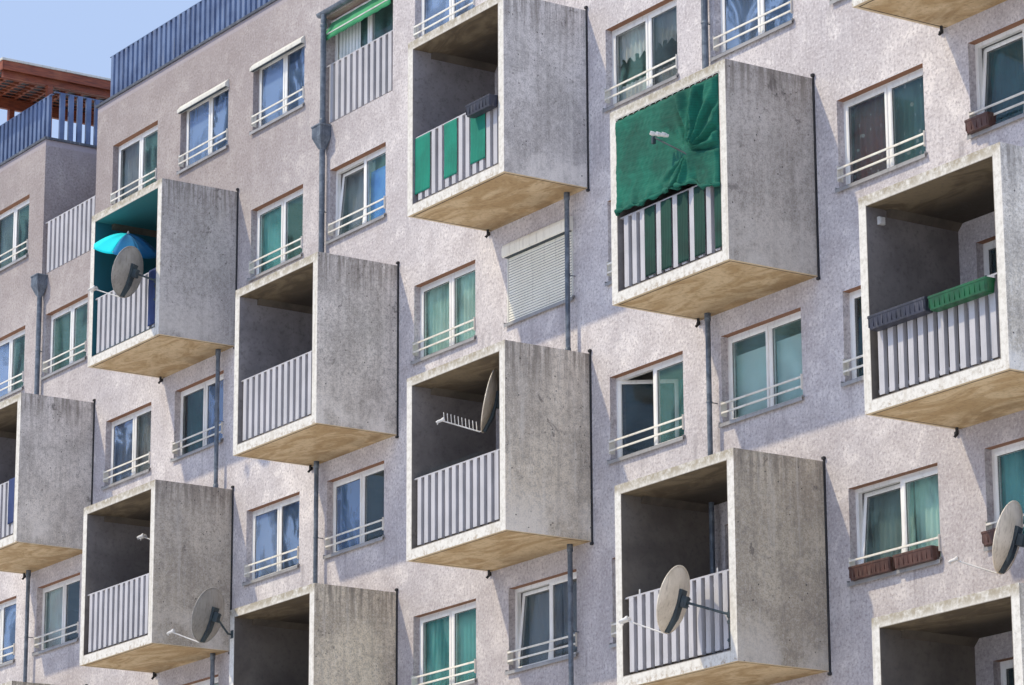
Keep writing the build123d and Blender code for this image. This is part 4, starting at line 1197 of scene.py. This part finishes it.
def shutters():
    """Shutter boxes with sloped faces, and one roller shutter that is down."""
    cases, curtain = Form(), Form()
    for bay, right in ((B, True), (C, False)):
        x0 = window_left(bay, right)
        head = datum(TOP) + SILL + WIN_H
        lip = [(FRONT, head - 0.15), (FRONT - 0.080, head - 0.15), (FRONT - 0.083, head - 0.14),
               (FRONT - 0.080, head - 0.085), (FRONT - 0.012, head), (FRONT, head)]
        cases.along_x(lip, x0, x0 + WIN_W)
        for x in (x0 - 0.004, x0 + WIN_W + 0.001):
            cases.along_x(lip, x, x + 0.003)
        # a dark plate under the hood as painted shade
        cases.box((x0 + 0.01, FRONT - 0.07, head - 0.156), (x0 + WIN_W - 0.01, FRONT - 0.02, head - 0.15),
                  slot=1)
    bay, right, storey = SHUTTERED
    x0 = window_left(bay, right)
    x1 = x0 + WIN_W
    head, sill = datum(storey) + SILL + WIN_H, datum(storey) + SILL + 0.03
    box_high, pitch = 0.23, 0.0447
    outline = ((0.0, box_high), (0.085, box_high), (0.105, 0.21), (0.11, 0.17), (0.11, 0.08), (0.095, 0.03),
               (0.06, 0.0), (0.0, 0.0))
    cases.along_x([(FRONT - out, head - down) for out, down in outline], x0, x1, slot=2)
    # a dark plate under the shutter box as painted shade
    cases.box((x0 + 0.03, FRONT - 0.08, head - 0.236), (x1 - 0.03, FRONT + 0.01, head - box_high), slot=1)
    for x in (x0, x1 - 0.045):
        cases.block((x, FRONT - 0.006, sill), (x + 0.045, FRONT + 0.03, head - box_high), 0.003)
    count = int((head - box_high - sill) / pitch)
    profile = []
    for k in range(count + 1):
        z = sill + 0.02 + k * pitch
        for y, dz in ((0.012, 0.0), (0.006, 0.003), (0.002, 0.014), (0.001, 0.024), (0.004, 0.036),
                      (0.012, 0.042)):
            if z + dz < head - 0.225:
                profile.append((FRONT + y, z + dz))
    curtain.grid([[(x, y, z) for y, z in profile] for x in (x0 + 0.02, x1 - 0.02)], smooth=False)
    # dark strips in the joints between the slats as painted shade
    for k in range(count):
        z = sill + 0.012 + k * pitch
        curtain.box((x0 + 0.03, FRONT + 0.003, z), (x1 - 0.03, FRONT + 0.011, z + 0.007), slot=1)
    cases.block((x0 + 0.04, FRONT - 0.004, sill), (x1 - 0.04, FRONT + 0.02, sill + 0.025), 0.003)
    boxes = cases.make("shutter_cases", [HOOD, DARK, SHUTTER], "shutter_cream")
    curtain.make("shutter_curtain", [SHUTTER, DARK], "shutter_cream")
    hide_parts("roller_shutters")


def curtains():
    """Curtains and blinds behind the panes, gathered to about one and a third times their width."""
    sets = {}
    behind_panes, clear_of_tilt, clear_of_turn = 0.115, 0.23, 0.80
    # the sheer cloths are two pieces, split at the floor line of storey 5; together they would be a sheet
    # more than 30 m wide
    sheer_split = datum(5)

    def hang(kind, x0, x1, z0, z1, waves=None, depth=0.018, hem=0.0, behind=behind_panes):
        if kind == "sheer" and z0 > sheer_split:
            kind = "sheer_high"
        form, spans = sets.setdefault(kind, (Form(), []))
        y = FRONT + REVEAL + behind
        waves = waves or max(2, int((x1 - x0) * 9))
        rows = []
        for i in range(7):
            row = []
            for k in range(waves * 8 + 1):
                u = k / (waves * 8)
                edge = hem * abs(math.sin(u * math.pi * 5)) * (i / 6)
                z = z1 + (z0 + edge - z1) * i / 6
                swing = depth * math.sin(u * waves * 2 * math.pi + 0.5 * math.sin(z * 3 + x0))
                row.append((x0 + (x1 - x0) * u + 0.006 * math.sin(z * 4 + k), y + swing, z))
            rows.append(row)
        form.grid(rows)
        wide = sum((Vector(a) - Vector(b)).length for a, b in zip(rows[3], rows[3][1:]))
        spans.append((wide, z1 - z0))

    special = {
        (D, False, 5): ("mint", "mint"), (F, False, 5): ("red", "dot"), (F, True, 5): ("teal", "sheer"),
        (E, False, 4): ("teal", "sheer"), (E, True, 4): ("sky", "sky"), (D, False, 3): ("teal", "teal"),
        (D, True, 3): ("sheer", "sheer"), (F, False, 3): ("mint", "mint"), (F, True, 3): ("teal", "sheer"),
        (C, True, 6): ("sheer", "blue"), (A, True, 6): ("", ""), (B, True, 7): ("", ""),
        (C, False, 7): ("", ""), (B, False, 7): ("sheer", ""), (E, False, 6): ("lace", "lace"),
        (E, True, 6): ("sheer", ""), (D, False, 7): ("sheer", "sheer"), (C, False, 5): ("sheer", "sheer"),
        SHUTTERED: ("", ""),
    }
    clear = {(C, True, 6): clear_of_tilt, (F, True, 5): clear_of_tilt, (D, True, 3): clear_of_tilt,
             (F, False, 3): clear_of_tilt, (E, False, 4): clear_of_turn}
    for bay, right, storey in front_windows():
        x0 = window_left(bay, right)
        z0 = datum(storey) + SILL
        middle = x0 + WIN_W / 2 + MEETING
        pick = special.get((bay, right, storey))
        if pick is None:
            pick = random.choice((("sheer", ""), ("", "sheer"), ("sheer", "sheer"), ("", ""), ("teal", ""),
                                  ("mint", "")))
        for kind, a, b in ((pick[0], x0 + 0.05, middle - 0.02),
                           (pick[1], middle + 0.02, x0 + WIN_W - 0.05)):
            if kind == "lace":
                hang("sheer", a, b, z0 + 0.75, z0 + WIN_H - 0.04, hem=0.12)
                hang("sheer", a, b, z0 + 0.05, z0 + 0.42, hem=0.0)
            elif kind in ("sky", "blue"):
                hang(kind, a, b, z0 + 0.05, z0 + WIN_H - 0.28, waves=3, depth=0.003)
            elif kind:
                gap = clear.get((bay, right, storey), behind_panes)
                hang(kind, a, b, z0 + 0.04, z0 + WIN_H - 0.04, behind=gap)
    for bay in (C, E):
        x0 = box_left(bay) + LOGGIA_IN
        hang("sheer", x0 + 0.1, x0 + 0.9, datum(TOP) + 0.6, datum(TOP) + 2.54)
    cloths = {"sheer": SHEER, "sheer_high": SHEER, "mint": MINT, "teal": TEAL, "sky": SKY, "red": RED,
              "dot": GREEN_DOT, "blue": VIVID}
    for kind, (form, spans) in sets.items():
        piece = form.make(f"curtains_{kind}", cloths[kind], "cloth_green")


def awning():
    """Awning cloth across the head of one loggia's French window, let down a little."""
    sheet, roll = Form(), Form()
    x0, x1 = 0.30, 2.61
    rows = []
    for i in range(13):
        t = i / 12
        rows.append([spot(C, 7, x0 + (x1 - x0) * k / 24,
                          0.14 - 0.17 * t - 0.012 * math.sin(t * math.pi) + 0.004 * math.sin(k * 1.1),
                          2.54 - 0.30 * t - 0.018 * math.sin(t * math.pi)) for k in range(25)])
    rows.append([p + Vector((0, 0, -0.10 - 0.02 * math.sin(k * math.pi / 3) ** 2))
                 for k, p in enumerate(rows[-1])])
    sheet.grid(rows)
    roll.tube([spot(C, 7, x0 - 0.02, 0.155, 2.54), spot(C, 7, x1 + 0.02, 0.155, 2.54)], 0.032, 14)
    roll.tube([spot(C, 7, x0 - 0.01, -0.03, 2.24), spot(C, 7, x1 + 0.01, -0.03, 2.24)], 0.014, 10)
    for x in (x0, x1):
        roll.tube([spot(C, 7, x, 0.15, 2.50), spot(C, 7, x, 0.02, 2.36), spot(C, 7, x, -0.03, 2.24)], 0.009,
                  8)
    cover = sheet.make("awning_cloth", AWNING, "cloth_green", thick=0.002)
    roll.make("awning_roller", PALE, "frame_white")


def small_fittings():
    """A lamp, rail posts, and the fascia and trims of the pergola."""
    bits, boards, trims = Form(), Form(), Form()
    lamp = spot(F, 4, SIDE, -1.42, 2.60)
    bits.block(lamp, lamp + Vector((0.05, 0.11, 0.11)), 0.006)
    bits.block(lamp + Vector((0.05, 0.015, 0.015)), lamp + Vector((0.062, 0.095, 0.095)), 0.004)
    for x in (0.483, 2.342):
        bits.tube([spot(E, 3, x, -1.52, 1.30), spot(E, 3, x, -1.52, 1.375), spot(E, 3, x, -1.52, 1.385)],
                  0.014, 12, radii=[0.014, 0.014, 0.008])
    bits.make("lamp_and_posts", PALE, "frame_white")
    # outline of the pergola's roof and heights of its fascia
    x0, x1, y0, y1 = -17.285, -15.165, -6.56, -1.94
    low, high, roof_top, thick = 26.51, 26.712, 26.765, 0.028
    boards.block((x0 - thick, y0 + 0.02, low), (x0, y1 - 0.02, high), 0.004)
    boards.block((x1, y0 + 0.02, low), (x1 + thick, y1 - 0.02, high), 0.004)
    boards.block((x0 - thick, y0 - 0.01, low), (x1 + thick, y0 + 0.018, high), 0.004)
    boards.block((x0 - thick, y1 - 0.018, low), (x1 + thick, y1 + 0.01, high), 0.004)
    for k in range(10):
        x = x0 + 0.2 + 0.19 * k
        boards.block((x, y0 + 0.1, 26.59), (x + 0.04, y1 - 0.1, 26.60), 0.002)
    boards.make("pergola_fascia", TIMBER, "timber")
    for a, b, c, d in ((x0 - 0.05, x1 + 0.05, y0 - 0.03, y0 + 0.01),
                       (x0 - 0.05, x1 + 0.05, y1 - 0.01, y1 + 0.03),
                       (x0 - 0.05, x0 - 0.01, y0, y1), (x1 + 0.01, x1 + 0.05, y0, y1)):
        trims.block((a, c, high), (b, d, roof_top), 0.006)
    trims.make("pergola_roof_trim", HOOD, "coping_metal")


sashes()
guard_rails()
sill_lips()
rear_sashes()
railing_bars()
pipe_sleeves()
seal_caps()
dishes()
spikes()
railing_cloths(net())
parasol()
flower_boxes()
shutters()
curtains()
awning()
small_fittings()


def stage():
    """Pale floor, pale surroundings and soft light from the upper left of the street front."""
    scene = bpy.context.scene
    mesh = bpy.data.meshes.new("floor")
    mesh.from_pydata([(-400, -400, 0), (400, -400, 0), (400, 400, 0), (-400, 400, 0)], [], [(0, 1, 2, 3)])
    floor = bpy.data.objects.new("floor", mesh)
    floor.location.z = -0.002
    scene.collection.objects.link(floor)
    g = Graph("pale_floor", Roughness=0.95)
    soft = g.noise(0.4, 3, 0.5)
    mesh.materials.append(g.done(g.mix(soft, (0.66, 0.63, 0.58), (0.62, 0.59, 0.55))))

    world = bpy.data.worlds.new("studio")
    scene.world = world
    world.use_nodes = True
    tree = world.node_tree
    tree.nodes.clear()

    def background(colour, strength):
        node = tree.nodes.new("ShaderNodeBackground")
        node.inputs["Color"].default_value = (*colour, 1)
        node.inputs["Strength"].default_value = strength
        return node.outputs[0]

    def larger(a, b):
        node = tree.nodes.new("ShaderNodeMath")
        node.operation = "MAXIMUM"
        tree.links.new(a, node.inputs[0])
        tree.links.new(b, node.inputs[1])
        return node.outputs[0]

    # the sky that is seen or mirrored is a little dimmer than the one that lights
    rays = tree.nodes.new("ShaderNodeLightPath").outputs
    seen = larger(larger(rays["Is Camera Ray"], rays["Is Glossy Ray"]), rays["Is Transmission Ray"])
    blend = tree.nodes.new("ShaderNodeMixShader")
    tree.links.new(seen, blend.inputs[0])
    tree.links.new(background((0.50, 0.66, 1.0), 1.23), blend.inputs[1])
    tree.links.new(background((0.51, 0.67, 1.0), 0.92), blend.inputs[2])
    end = tree.nodes.new("ShaderNodeOutputWorld")
    tree.links.new(blend.outputs[0], end.inputs[0])

    lamp = bpy.data.lights.new("key", "SUN")
    lamp.energy = 3.6
    lamp.color = (1.0, 0.88, 0.62)
    lamp.angle = math.radians(1.2)
    key = bpy.data.objects.new("key", lamp)
    towards = Vector((-0.336, -0.548, 0.766))
    key.rotation_mode = "QUATERNION"
    key.rotation_quaternion = towards.to_track_quat("Z", "Y")
    scene.collection.objects.link(key)

    # camera of the photo, from a least-squares fit to the corners of the boxes
    focal_px, width_px = 3488.1, 1024
    place = Vector((49.033, -36.067, 1.751))
    yaw, pitch, roll = (math.radians(angle) for angle in (-56.552, 15.0, -0.276))
    view = bpy.data.cameras.new("view")
    view.sensor_width = 36.0
    view.lens = focal_px * view.sensor_width / width_px
    view.clip_start, view.clip_end = 1.0, 2000.0
    ahead = Vector((math.sin(yaw) * math.cos(pitch), math.cos(yaw) * math.cos(pitch), math.sin(pitch)))
    level = Vector((math.cos(yaw), -math.sin(yaw), 0))
    up = level.cross(ahead)
    right = level * math.cos(roll) + up * math.sin(roll)
    up = right.cross(ahead)
    camera = bpy.data.objects.new("view", view)
    turn = Matrix((right, up, -ahead)).transposed().to_4x4()
    camera.matrix_world = Matrix.Translation(place) @ turn
    scene.collection.objects.link(camera)
    scene.camera = camera
    scene.view_settings.view_transform = "Standard"


stage()
